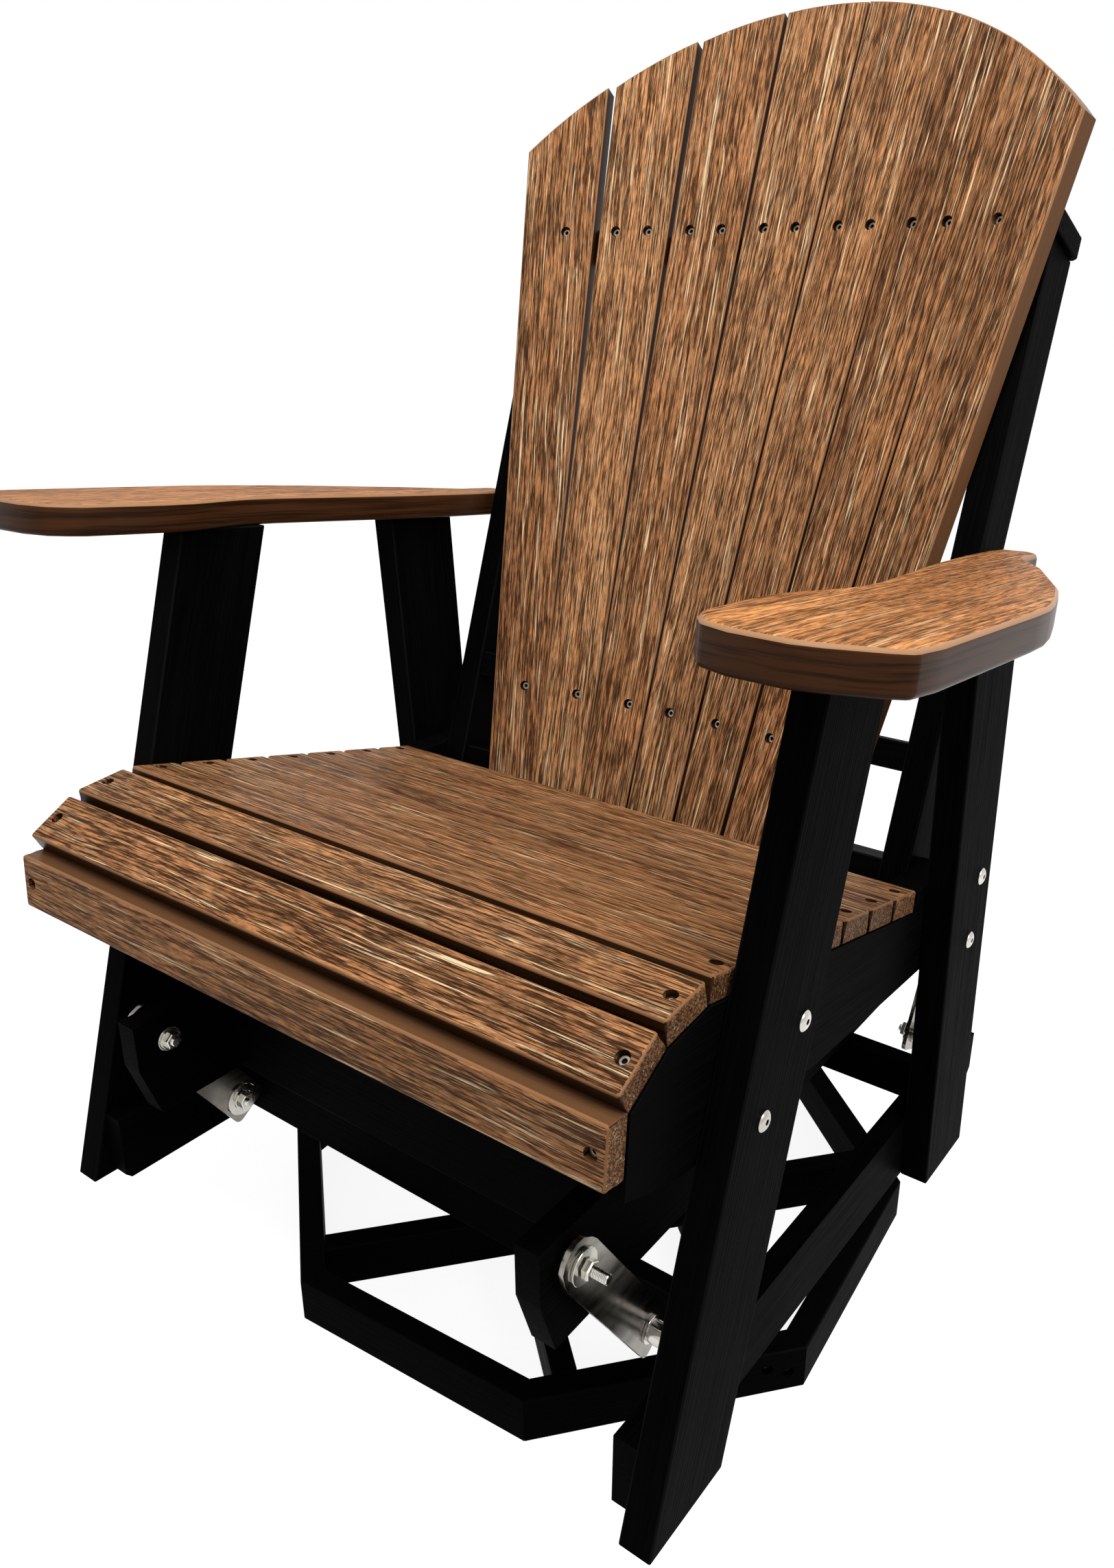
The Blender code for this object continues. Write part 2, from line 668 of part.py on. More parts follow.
class SlatPlane:
    # Front face of one back slat: y = y0 + across * (x - x0) + up * (z - BACK_LOW_Z).

    def __init__(self, place):
        self.place = place
        low = place * BACK_LOW_PITCH
        high = place * BACK_HIGH_PITCH
        low_y = BACK_LOW_Y - low**2 / (2 * BACK_LOW_RADIUS)
        high_y = BACK_HIGH_Y - high**2 / (2 * BACK_HIGH_RADIUS)
        self.x0 = low
        self.y0 = low_y
        self.across = -(low / BACK_LOW_RADIUS + high / BACK_HIGH_RADIUS) / 2
        rise = high_y - low_y - self.across * (high - low)
        self.up = rise / (BACK_HIGH_Z - BACK_LOW_Z)
        self.normal = Vector((-self.across, 1, -self.up)).normalized()

    def y(self, x, z):
        return self.y0 + self.across * (x - self.x0) + self.up * (z - BACK_LOW_Z)

    def point(self, x, z):
        return Vector((x, self.y(x, z), z))

    def edge_x(self, share, z):
        return (self.place + share) * pitch_at(z) - share * BACK_SLAT_GAP

    def behind(self, x, place):
        # Depth in the back frame of the slat's rear face, at a height measured along the stile.
        reach = self.y(x, STILE_FRONT_Z + place * math.cos(STILE_LEAN))
        reach += SLAT_BOARD / self.normal.y - STILE_FRONT_Y - place * math.sin(STILE_LEAN)
        return reach / (math.cos(STILE_LEAN) + self.up * math.sin(STILE_LEAN))


def crown_z(x):
    return BACK_CROWN_Z - BACK_CROWN_RADIUS + math.sqrt(BACK_CROWN_RADIUS**2 - x**2)


def make_back_slat(number, plane):
    right = Vector((1, plane.across, 0)).normalized()
    up = right.cross(plane.normal)
    base = plane.point(plane.x0, BACK_LOW_Z)

    def flat(x, z):
        offset = plane.point(x, z) - base
        return (offset.dot(right), offset.dot(up))

    outline = [flat(plane.edge_x(share, BACK_SLAT_FOOT_Z), BACK_SLAT_FOOT_Z) for share in (-0.5, 0.5)]
    for step in range(BACK_CROWN_STEPS + 1):
        share = 0.5 - step / BACK_CROWN_STEPS
        z = BACK_CROWN_Z
        for _ in range(8):
            z = crown_z(plane.edge_x(share, z))
        outline.append(flat(plane.edge_x(share, z), z))
    slat = board(f"back_slat_{number:02d}", outline, SLAT_BOARD, "tan_board")
    turn = Matrix((right, up, -plane.normal)).transposed().to_euler()
    on_chair(slat, base + SLAT_BOARD / 2 * plane.normal, turn)


def back_rail_outline(planes, place, thickness, half, clip):
    # Front edge against the slats, then the rear edge flush with the stiles.
    height = STILE_FRONT_Z + place * math.cos(STILE_LEAN)
    front = []
    for plane in planes:
        shift = SLAT_BOARD * plane.normal.x
        for share, furthest in ((-0.5, min), (0.5, max)):
            heights = (height - thickness, height + thickness)
            edge = furthest(plane.edge_x(share, z) for z in heights) + shift
            x = max(-half, min(half, edge))
            levels = (place - thickness / 2, place + thickness / 2)
            front.append((x, max(plane.behind(x, level) for level in levels) + FIT))
    # Where two slats' edges cross within the rail, its front steps at the middle between them.
    for i in range(1, len(front) - 1, 2):
        (this_x, this_y), (next_x, next_y) = front[i], front[i + 1]
        if next_x - this_x < FIT:
            middle = (this_x + next_x) / 2
            level = max(this_y, next_y)
            front[i] = (middle - FIT / 2, level)
            front[i + 1] = (middle + FIT / 2, level)
    outline = [(-half, front[0][1]), *front, (half, front[-1][1])]
    kept = [point for i, point in enumerate(outline) if i == 0 or point[0] > outline[i - 1][0]]
    rear = STILE_WIDTH
    return kept + [(half, rear - clip), (half - clip, rear), (clip - half, rear), (-half, rear - clip)]


def make_back():
    middle = (BACK_SLATS - 1) / 2
    planes = [SlatPlane(number - middle) for number in range(BACK_SLATS)]
    for number, plane in enumerate(planes, 1):
        make_back_slat(number, plane)
    corner = Vector((0, STILE_FRONT_Y, STILE_FRONT_Z)) - CHAIR_PIVOT
    frame = anchor("back_frame", corner, -STILE_LEAN, chair_axis)
    length = STILE_BELOW + STILE_ABOVE
    for side, sign in SIDES:
        stile = block(f"back_stile_{side}", (STILE_BOARD, STILE_WIDTH, length), "black_board")
        across = sign * (STILE_OUTSIDE - STILE_BOARD / 2)
        set_on(stile, frame, (across, STILE_WIDTH / 2, (STILE_ABOVE - STILE_BELOW) / 2))
    within = STILE_INSIDE - FIT
    upper_place = STILE_ABOVE + FIT + UPPER_RAIL_BOARD / 2
    for name, place, thickness, half, clip in (
        ("back_upper_rail", upper_place, UPPER_RAIL_BOARD, UPPER_RAIL_HALF, UPPER_RAIL_CLIP),
        ("back_lower_rail", LOWER_RAIL_PLACE, LOWER_RAIL_BOARD, within, 0.0),
        ("back_foot_rail", FOOT_RAIL_PLACE, LOWER_RAIL_BOARD, within, 0.0),
    ):
        outline = back_rail_outline(planes, place, thickness, half, clip)
        rail = board(name, outline, thickness, "black_board")
        set_on(rail, frame, (0, 0, place))


make_base()
make_swivel()
make_frame()
make_hangers()
make_bolts()
make_legs()
make_seat()
make_arms()
make_back()
bpy.context.view_layer.update()
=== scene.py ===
import json
import math
import random

import bmesh
import bpy
from mathutils import Matrix, Vector


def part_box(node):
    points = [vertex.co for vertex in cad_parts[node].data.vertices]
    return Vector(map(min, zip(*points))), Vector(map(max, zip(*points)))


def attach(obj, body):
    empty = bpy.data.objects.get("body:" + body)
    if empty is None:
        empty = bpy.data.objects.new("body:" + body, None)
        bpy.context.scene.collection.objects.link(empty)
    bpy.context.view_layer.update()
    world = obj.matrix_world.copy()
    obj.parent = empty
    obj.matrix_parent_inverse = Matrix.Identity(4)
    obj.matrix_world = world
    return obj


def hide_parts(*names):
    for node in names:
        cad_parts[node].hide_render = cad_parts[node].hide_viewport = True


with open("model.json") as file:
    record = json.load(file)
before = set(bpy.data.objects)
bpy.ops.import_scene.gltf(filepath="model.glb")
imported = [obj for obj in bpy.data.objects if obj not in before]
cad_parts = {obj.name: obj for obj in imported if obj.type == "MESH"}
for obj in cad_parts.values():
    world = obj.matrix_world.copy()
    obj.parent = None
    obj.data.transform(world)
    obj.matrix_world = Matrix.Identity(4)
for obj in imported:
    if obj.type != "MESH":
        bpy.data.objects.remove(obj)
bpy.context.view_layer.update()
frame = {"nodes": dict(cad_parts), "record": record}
nodes = frame["nodes"]
sides = ("left", "right")
bodyOf = {node: body for body, group in frame["record"]["behaviour"]["bodies"].items() for node in group}
scene = bpy.context.scene


# Small helpers

def millimetres(value):
    return value / 1000


def newObject(name, mesh):
    obj = bpy.data.objects.new(name, mesh)
    scene.collection.objects.link(obj)
    return obj


def evaluatedMesh(obj, name):
    # The object's modifiers are turned into a plain mesh, and the object goes.
    graph = bpy.context.evaluated_depsgraph_get()
    mesh = bpy.data.meshes.new_from_object(obj.evaluated_get(graph))
    mesh.name = name
    bpy.data.objects.remove(obj, do_unlink=True)
    return mesh


def put(tree, kind, inputs=None, **settings):
    # Adds a node, with sockets linked or set to plain values.
    node = tree.nodes.new(kind)
    for key, value in settings.items():
        setattr(node, key, value)
    for key, value in (inputs or {}).items():
        if isinstance(value, bpy.types.NodeSocket):
            tree.links.new(value, node.inputs[key])
        else:
            node.inputs[key].default_value = value
    return node


# Materials

def newMaterial(name, values):
    material = bpy.data.materials.new(name)
    material.use_nodes = True
    shader = material.node_tree.nodes["Principled BSDF"]
    for key, value in values.items():
        shader.inputs[key].default_value = value
    return material, material.node_tree, shader


def attribute(tree, name, output="Fac"):
    return put(tree, "ShaderNodeAttribute", attribute_name=name).outputs[output]


def vectorStep(tree, operation, first, second=None):
    inputs = {0: first} if second is None else {0: first, 1: second}
    return put(tree, "ShaderNodeVectorMath", inputs, operation=operation).outputs[0]


def stretched(tree, vector, amounts, detail, roughness=0.55, shift=0.0):
    # Noise drawn out along the board: amounts are repeats per metre along, across and through.
    inputs = {0: vector, 1: amounts, 2: (shift,) * 3}
    scaled = put(tree, "ShaderNodeVectorMath", inputs, operation="MULTIPLY_ADD")
    noise = put(
        tree,
        "ShaderNodeTexNoise",
        {"Vector": scaled.outputs[0], "Scale": 1.0, "Detail": detail, "Roughness": roughness},
    )
    return noise.outputs[0]


def ranged(tree, value, low, high, start=0.0, end=1.0):
    inputs = {"Value": value, "From Min": low, "From Max": high, "To Min": start, "To Max": end}
    return put(tree, "ShaderNodeMapRange", inputs).outputs[0]


def times(tree, first, second):
    return put(tree, "ShaderNodeMath", {0: first, 1: second}, operation="MULTIPLY").outputs[0]


def blended(tree, factor, first, second, kind="MIX"):
    node = tree.nodes.new("ShaderNodeMix")
    node.data_type = "RGBA"
    node.blend_type = kind
    for socket, value in ((node.inputs[0], factor), (node.inputs[6], first), (node.inputs[7], second)):
        if isinstance(value, bpy.types.NodeSocket):
            tree.links.new(value, socket)
        else:
            socket.default_value = value if socket == node.inputs[0] else (*value, 1.0)
    return node.outputs[2]


grainWay = {"boardShift": (37.0, 19.0, 11.0), "swayScale": (7.0, 16.0, 16.0)}


def grainCoordinates(tree, waver):
    # Places along each board, wavered a little and moved on by the board's own tone.
    place = attribute(tree, "grainPlace", "Vector")
    tone = attribute(tree, "boardTone")
    inputs = {0: grainWay["boardShift"], "Scale": tone}
    moved = put(tree, "ShaderNodeVectorMath", inputs, operation="SCALE").outputs[0]
    shifted = vectorStep(tree, "ADD", place, moved)
    sway = ranged(tree, stretched(tree, shifted, grainWay["swayScale"], 2.0), 0.0, 1.0, -waver, waver)
    aside = put(tree, "ShaderNodeCombineXYZ", {1: sway, 2: sway}).outputs[0]
    return vectorStep(tree, "ADD", shifted, aside), tone


slatLook = {
    "deep": (0.255, 0.108, 0.043),
    "warm": (0.440, 0.192, 0.076),
    "pale": (0.640, 0.320, 0.140),
    "toneShare": 0.40,
    "fleck": (0.980, 0.700, 0.410),
    "fleckShare": 0.85,
    "pore": (0.020, 0.007, 0.003),
    "poreShare": 0.88,
    "streakScale": (9.0, 480.0, 480.0),
    "lineScale": (10.0, 330.0, 330.0),
    "lineWidth": 10.0,
    "bandScale": (1.8, 24.0, 24.0),
    "mottleScale": (70.0, 430.0, 430.0),
    "edgeScale": (5.0, 9.0, 290.0),
    "edgeLineShare": 0.80,
    "paintedHighlightShare": 0.65,
    "waver": 0.0030,
    "relief": 1.0,
    "reliefDepth": 0.0011,
    # Side faces: edge and edgeLine are partly a darker, smoother finish and partly painted shade for the
    # narrow gaps between boards.
    "edge": (0.040, 0.016, 0.006),
    "edgeLine": (0.014, 0.005, 0.002),
    # rim: a painted highlight on the rounded edges.
    "rim": (0.420, 0.200, 0.090),
}
armLook = dict(
    slatLook,
    deep=(0.290, 0.112, 0.037),
    warm=(0.510, 0.210, 0.070),
    pale=(0.620, 0.280, 0.105),
    fleckShare=0.30,
    poreShare=0.75,
    streakScale=(8.0, 400.0, 400.0),
    lineScale=(6.0, 150.0, 150.0),
    lineWidth=15.0,
    relief=0.45,
    # Arm sides: partly a darker, smoother finish and partly painted shade.
    edge=(0.055, 0.021, 0.008),
    edgeLine=(0.012, 0.005, 0.002),
    # rim: a painted highlight on the arm's upward rounded edges.
    rim=(0.560, 0.300, 0.150),
)


def tanBoard(name, look):
    material, tree, shader = newMaterial(name, {"Specular IOR Level": 0.14, "IOR": 1.30})
    coordinates, tone = grainCoordinates(tree, look["waver"])
    broad = attribute(tree, "broadFace")
    rim = attribute(tree, "rim")
    streaks = ranged(tree, stretched(tree, coordinates, look["streakScale"], 2.0), 0.60, 0.65)
    contour = stretched(tree, coordinates, look["lineScale"], 3.0, 0.6, 5.0)
    offset = put(tree, "ShaderNodeMath", {0: contour, 1: 0.5}, operation="SUBTRACT").outputs[0]
    apart = put(tree, "ShaderNodeMath", {0: offset}, operation="ABSOLUTE").outputs[0]
    lines = ranged(tree, times(tree, apart, look["lineWidth"]), 0.55, 0.10)
    bands = ranged(tree, stretched(tree, coordinates, look["bandScale"], 2.0, 0.5, 9.0), 0.36, 0.62)
    mottle = stretched(tree, coordinates, look["mottleScale"], 3.0, 0.65, 2.0)
    colour = blended(tree, bands, look["deep"], look["warm"])
    colour = blended(tree, times(tree, tone, look["toneShare"]), colour, look["pale"])
    shade = ranged(tree, mottle, 0.34, 0.66, 0.40, 1.50)
    shade = put(tree, "ShaderNodeCombineColor", {0: shade, 1: shade, 2: shade}).outputs[0]
    colour = blended(tree, 1.0, colour, shade, "MULTIPLY")
    colour = blended(tree, times(tree, lines, look["poreShare"]), colour, look["pore"])
    colour = blended(tree, times(tree, streaks, look["fleckShare"]), colour, look["fleck"])
    # Side faces and hole walls: a dark colour with dark grain lines, partly a smoother finish and partly
    # painted shade.
    long = ranged(tree, stretched(tree, coordinates, look["edgeScale"], 3.0, 0.6, 7.0), 0.52, 0.36)
    side = blended(tree, times(tree, long, look["edgeLineShare"]), look["edge"], look["edgeLine"])
    # Painted highlight: the rim colour on rounded edges, and weaker on sides left open to the lamps.
    side = blended(tree, times(tree, rim, look["paintedHighlightShare"]), side, look["rim"])
    tree.links.new(blended(tree, broad, side, colour), shader.inputs["Base Color"])
    tree.links.new(ranged(tree, broad, 0.0, 1.0, 0.30, 0.50), shader.inputs["Roughness"])
    relief = put(tree, "ShaderNodeMath", {0: streaks, 1: lines}, operation="SUBTRACT").outputs[0]
    inputs = {0: mottle, 1: 0.8, 2: relief}
    relief = put(tree, "ShaderNodeMath", inputs, operation="MULTIPLY_ADD").outputs[0]
    relief = times(tree, relief, broad)
    inputs = {"Height": relief, "Strength": look["relief"], "Distance": look["reliefDepth"]}
    bump = put(tree, "ShaderNodeBump", inputs)
    tree.links.new(bump.outputs[0], shader.inputs["Normal"])
    return material


blackLook = {
    "deep": (0.0012, 0.0012, 0.0012),
    "worn": (0.0040, 0.0039, 0.0038),
    # rim: a painted highlight, lighter black on the rounded edges.
    "rim": (0.0080, 0.0078, 0.0075),
    "brushScale": (9.0, 520.0, 520.0),
    "brushShare": 0.6,
    "cloudScale": (6.0, 30.0, 30.0),
    "cloudShare": 0.35,
    "paintedHighlightShare": 0.7,
    "waver": 0.002,
}


def blackBoard():
    material, tree, shader = newMaterial("blackPolyBoard", {"Specular IOR Level": 0.05, "IOR": 1.12})
    coordinates, _ = grainCoordinates(tree, blackLook["waver"])
    rim = attribute(tree, "rim")
    brushed = ranged(tree, stretched(tree, coordinates, blackLook["brushScale"], 3.0), 0.40, 0.72)
    clouds = ranged(tree, stretched(tree, coordinates, blackLook["cloudScale"], 2.0, 0.5, 3.0), 0.42, 0.72)
    scratched = times(tree, brushed, blackLook["brushShare"])
    colour = blended(tree, scratched, blackLook["deep"], blackLook["worn"])
    colour = blended(tree, times(tree, clouds, blackLook["cloudShare"]), colour, blackLook["worn"])
    # Painted highlight: lighter black on the rounded edges.
    colour = blended(tree, times(tree, rim, blackLook["paintedHighlightShare"]), colour, blackLook["rim"])
    tree.links.new(colour, shader.inputs["Base Color"])
    tree.links.new(ranged(tree, brushed, 0.0, 1.0, 0.44, 0.62), shader.inputs["Roughness"])
    bump = put(tree, "ShaderNodeBump", {"Height": brushed, "Strength": 0.35, "Distance": 0.0004})
    tree.links.new(bump.outputs[0], shader.inputs["Normal"])
    return material


steelLook = {
    "clean": (0.62, 0.60, 0.55),
    "plate": (0.27, 0.255, 0.225),
    "dull": (0.30, 0.26, 0.22),
    "dark": (0.012, 0.012, 0.012),
    "stain": (0.13, 0.11, 0.09),
    # recess: drive recesses of screws and bolts, painted near black as shade.
    "recess": (0.012, 0.012, 0.012),
    "cloudScale": (34.0, 34.0, 34.0),
    "smoothest": 0.75,
    "roughest": 1.3,
}


def steel(name, roughness, stained, brush, clean="clean"):
    material, tree, shader = newMaterial(name, {"Metallic": 1.0})
    place = put(tree, "ShaderNodeTexCoord").outputs["Object"]
    recess = attribute(tree, "recess")
    clouds = ranged(tree, stretched(tree, place, steelLook["cloudScale"], 3.0), 0.46, 0.68)
    lines = stretched(tree, place, brush, 2.0, 0.5, 4.0)
    colour = blended(tree, times(tree, clouds, stained), steelLook[clean], steelLook["stain"])
    # Painted shade: the drive recesses are coloured near black.
    colour = blended(tree, recess, colour, steelLook["recess"])
    tree.links.new(colour, shader.inputs["Base Color"])
    low, high = roughness * steelLook["smoothest"], roughness * steelLook["roughest"]
    tree.links.new(ranged(tree, lines, 0.3, 0.7, low, high), shader.inputs["Roughness"])
    bump = put(tree, "ShaderNodeBump", {"Height": lines, "Strength": 0.03, "Distance": 0.0001})
    tree.links.new(bump.outputs[0], shader.inputs["Normal"])
    return material


tanFinish = tanBoard("tanPolySlat", slatLook)
armFinish = tanBoard("tanPolyArm", armLook)
blackFinish = blackBoard()
plateFinish = steel("polishedPlate", 0.20, 0.55, (30.0, 30.0, 110.0), "plate")
boltFinish = steel("polishedBolt", 0.17, 0.35, (90.0, 90.0, 90.0))
zincFinish = steel("zincPlate", 0.38, 0.40, (120.0, 120.0, 120.0))
screwFinish = steel("dullScrew", 0.34, 0.30, (120.0, 120.0, 120.0), "dull")
ringScrewFinish = steel("darkScrew", 0.50, 0.10, (120.0, 120.0, 120.0), "dark")
finishOf = {
    "tan_board": tanFinish,
    "black_board": blackFinish,
    "polished_steel": boltFinish,
    "zinc_steel": zincFinish,
}
print("materials made")


# Boards: each is a copy of its solid with eased corners, bored for its screws

boardStyles = {
    "backSlat": {
        "edge": millimetres(1.2),
        "steps": 3,
        "facing": Vector((0, -1, 0.35)).normalized(),
    },
    # Arms take the painted highlight only on rounded faces that point upward.
    "arm": {"edge": millimetres(4.2), "steps": 4, "paintedHighlightAbove": 0.15, "endShare": 0.0},
    "frameBoard": {"edge": millimetres(1.5), "steps": 3},
    "plate": {"edge": millimetres(0.5), "steps": 2},
    "sharpestCorner": math.radians(25),
    "smoothBelow": math.radians(32),
    "mergeBelow": 0.00002,
    "flatBelow": math.radians(0.6),
    "toneSeed": 7,
}
toneDraw = random.Random(boardStyles["toneSeed"])
axisSearch = {"rounds": 80, "through": Vector((0.61, 0.29, 0.73)), "along": Vector((0.37, 0.53, 0.76))}
markStyle = {
    # Ends mix a share of the broad-face colour into the side colour, so they stay lighter than the long sides
    # painted in shade.
    "endAbove": 0.9,
    "endShare": 0.55,
    "broadAbove": 0.97,
    "roundAbove": 0.2,
    # Sides left open to the lamps get a weaker painted light in the rim colour: the apron's top and the outer
    # sides of the end back slats.
    "paintedLightAbove": 0.6,
    "paintedLightShare": 0.42,
}
boreStyle = {"steps": 20, "overshoot": millimetres(1)}


def solidCopy(nodeName):
    shape = bmesh.new()
    shape.from_mesh(nodes[nodeName].data)
    bmesh.ops.remove_doubles(shape, verts=shape.verts, dist=boardStyles["mergeBelow"])
    flat = boardStyles["flatBelow"]
    bmesh.ops.dissolve_limit(shape, angle_limit=flat, verts=shape.verts, edges=shape.edges)
    return shape


def spreadOf(points):
    middle = sum(points, Vector()) / len(points)
    offsets = [p - middle for p in points]
    rows = [[sum(o[a] * o[b] for o in offsets) for b in range(3)] for a in range(3)]
    return middle, Matrix(rows)


def settled(matrix, guess):
    for _ in range(axisSearch["rounds"]):
        guess = (matrix @ guess).normalized()
    return guess


def boardFrame(nodeName, along=None, through=None):
    # A board's own axes: along its grain, across it, and through its thickness.
    points = [v.co.copy() for v in nodes[nodeName].data.vertices]
    middle, spread = spreadOf(points)
    least = (spread + Matrix.Identity(3) * 1e-7).inverted()
    through = Vector(through) if through else settled(least, axisSearch["through"])
    along = Vector(along) if along else settled(spread, axisSearch["along"])
    along = (along - along.dot(through) * through).normalized()
    across = through.cross(along)
    axes = Matrix((along, across, through))
    own = [axes @ (p - middle) for p in points]
    low = Vector([min(p[i] for p in own) for i in range(3)])
    high = Vector([max(p[i] for p in own) for i in range(3)])
    centre = middle + axes.transposed() @ ((low + high) / 2)
    return {"middle": centre, "axes": axes, "half": (high - low) / 2, "tone": toneDraw.random()}


def easedMesh(nodeName, style):
    shape = solidCopy(nodeName)
    sharpest = boardStyles["sharpestCorner"]
    facing = style.get("facing")
    corners = [e for e in shape.edges if len(e.link_faces) == 2 and e.calc_face_angle(0) > sharpest]
    if facing:
        corners = [e for e in corners if max(f.normal.dot(facing) for f in e.link_faces) > 0.9]
    bmesh.ops.bevel(
        shape,
        geom=corners,
        offset=style["edge"],
        offset_type="OFFSET",
        segments=style["steps"],
        profile=0.5,
        affect="EDGES",
        clamp_overlap=True,
    )
    mesh = bpy.data.meshes.new(nodeName)
    shape.to_mesh(mesh)
    shape.free()
    return mesh


def boredMesh(mesh, holes, radius, depth):
    # Straight screw holes, each at a place on the face and along the way out of it.
    cutter = bmesh.new()
    for place, outward in holes:
        turn = outward.to_track_quat("Z", "Y").to_matrix().to_4x4()
        middle = Matrix.Translation(place - outward * (depth / 2 - boreStyle["overshoot"]))
        bmesh.ops.create_cone(
            cutter,
            cap_ends=True,
            segments=boreStyle["steps"],
            radius1=radius,
            radius2=radius,
            depth=depth + 2 * boreStyle["overshoot"],
            matrix=middle @ turn,
        )
    cutterMesh = bpy.data.meshes.new("cutter")
    cutter.to_mesh(cutterMesh)
    cutter.free()
    cutterObject = newObject("cutter", cutterMesh)
    board = newObject("board", mesh)
    cut = board.modifiers.new("bore", "BOOLEAN")
    cut.operation = "DIFFERENCE"
    cut.solver = "EXACT"
    cut.object = cutterObject
    bored = evaluatedMesh(board, mesh.name)
    bpy.data.objects.remove(cutterObject, do_unlink=True)
    return bored


def nearestBoard(place, boards):
    def outside(board):
        local = board["axes"] @ (place - board["middle"])
        return max(abs(local[i]) - board["half"][i] for i in range(3))

    return min(boards, key=outside)


def markGrain(mesh, boards, style):
    # Each point keeps its place in its own board. Each face is broad, an edge, an end or a rim; rims get a
    # painted highlight, and sides left open to the lamps a weaker painted light.
    places, tones, broads, paintedLights = [], [], [], []
    for vertex in mesh.vertices:
        board = nearestBoard(vertex.co, boards)
        places += list(board["axes"] @ (vertex.co - board["middle"]))
        tones.append(board["tone"])
    for face in mesh.polygons:
        board = nearestBoard(face.center, boards)
        along, _, through = board["axes"] @ face.normal
        isEnd = abs(along) > markStyle["endAbove"]
        isBroad = abs(through) > markStyle["broadAbove"]
        # Ends keep part of the broad-face colour, lighter than the long sides painted in shade.
        endShare = style.get("endShare", markStyle["endShare"]) if isEnd else 0.0
        broads.append(1.0 if isBroad else endShare)
        # Rounded faces get a painted highlight; for arms, only those that face upward.
        rounded = not isBroad and abs(through) > markStyle["roundAbove"]
        rounded = rounded and face.normal.z > style.get("paintedHighlightAbove", -2)
        # A face on a board's open side gets a weaker painted light.
        isPaintedLit = face.normal.dot(board.get("paintedLightSide", Vector())) > markStyle["paintedLightAbove"]
        paintedLights.append(1.0 if rounded else markStyle["paintedLightShare"] * isPaintedLit)
    mesh.attributes.new("grainPlace", "FLOAT_VECTOR", "POINT").data.foreach_set("vector", places)
    mesh.attributes.new("boardTone", "FLOAT", "POINT").data.foreach_set("value", tones)
    mesh.attributes.new("broadFace", "FLOAT", "FACE").data.foreach_set("value", broads)
    mesh.attributes.new("rim", "FLOAT", "FACE").data.foreach_set("value", paintedLights)


def finishedPiece(name, mesh, body, replaced, material):
    mesh.materials.clear()
    mesh.materials.append(material)
    mesh.shade_smooth()
    mesh.set_sharp_from_angle(angle=boardStyles["smoothBelow"])
    carrier = newObject("carrier", mesh)
    weighted = carrier.modifiers.new("evenShading", "WEIGHTED_NORMAL")
    weighted.keep_sharp = True
    weighted.weight = 100
    piece = newObject(name, evaluatedMesh(carrier, name))
    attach(piece, body)
    if replaced:
        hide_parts(*replaced)
    return piece


def boardPiece(name, nodeName, style, slotName, axes=(None, None), holes=(), finish=None, paintedLightSide=None):
    board = boardFrame(nodeName, *axes)
    # The open side is painted lighter, as though lit.
    if paintedLightSide:
        board["paintedLightSide"] = Vector(paintedLightSide)
    mesh = easedMesh(nodeName, style)
    if holes:
        mesh = boredMesh(mesh, holes, *holeSize)
    markGrain(mesh, [board], style)
    finish = finish or finishOf[slotName]
    return finishedPiece(name, mesh, bodyOf[nodeName], [nodeName], finish)


# Geometry Nodes

def newTree(name, inputs):
    tree = bpy.data.node_groups.new(name, "GeometryNodeTree")
    tree.is_modifier = True
    tree.interface.new_socket("Geometry", in_out="OUTPUT", socket_type="NodeSocketGeometry")
    tree.interface.new_socket("Geometry", in_out="INPUT", socket_type="NodeSocketGeometry")
    for label, kind, value in inputs:
        socket = tree.interface.new_socket(label, in_out="INPUT", socket_type=kind)
        if value is not None:
            socket.default_value = value
    return tree, tree.nodes.new("NodeGroupInput").outputs, tree.nodes.new("NodeGroupOutput").inputs


def grownMesh(name, tree, points, vectors, values):
    # Runs a tree on loose points, each with vectors such as the way it faces.
    carrierMesh = bpy.data.meshes.new(name)
    carrierMesh.from_pydata([tuple(p) for p in points], [], [])
    for label, rows in vectors.items():
        flat = [value for row in rows for value in row]
        carrierMesh.attributes.new(label, "FLOAT_VECTOR", "POINT").data.foreach_set("vector", flat)
    carrier = newObject("carrier", carrierMesh)
    modifier = carrier.modifiers.new("grow", "NODES")
    modifier.node_group = tree
    for item in tree.interface.items_tree:
        if item.item_type == "SOCKET" and item.in_out == "INPUT" and item.name in values:
            modifier[item.identifier] = values[item.name]
    bpy.context.view_layer.update()
    return evaluatedMesh(carrier, name)


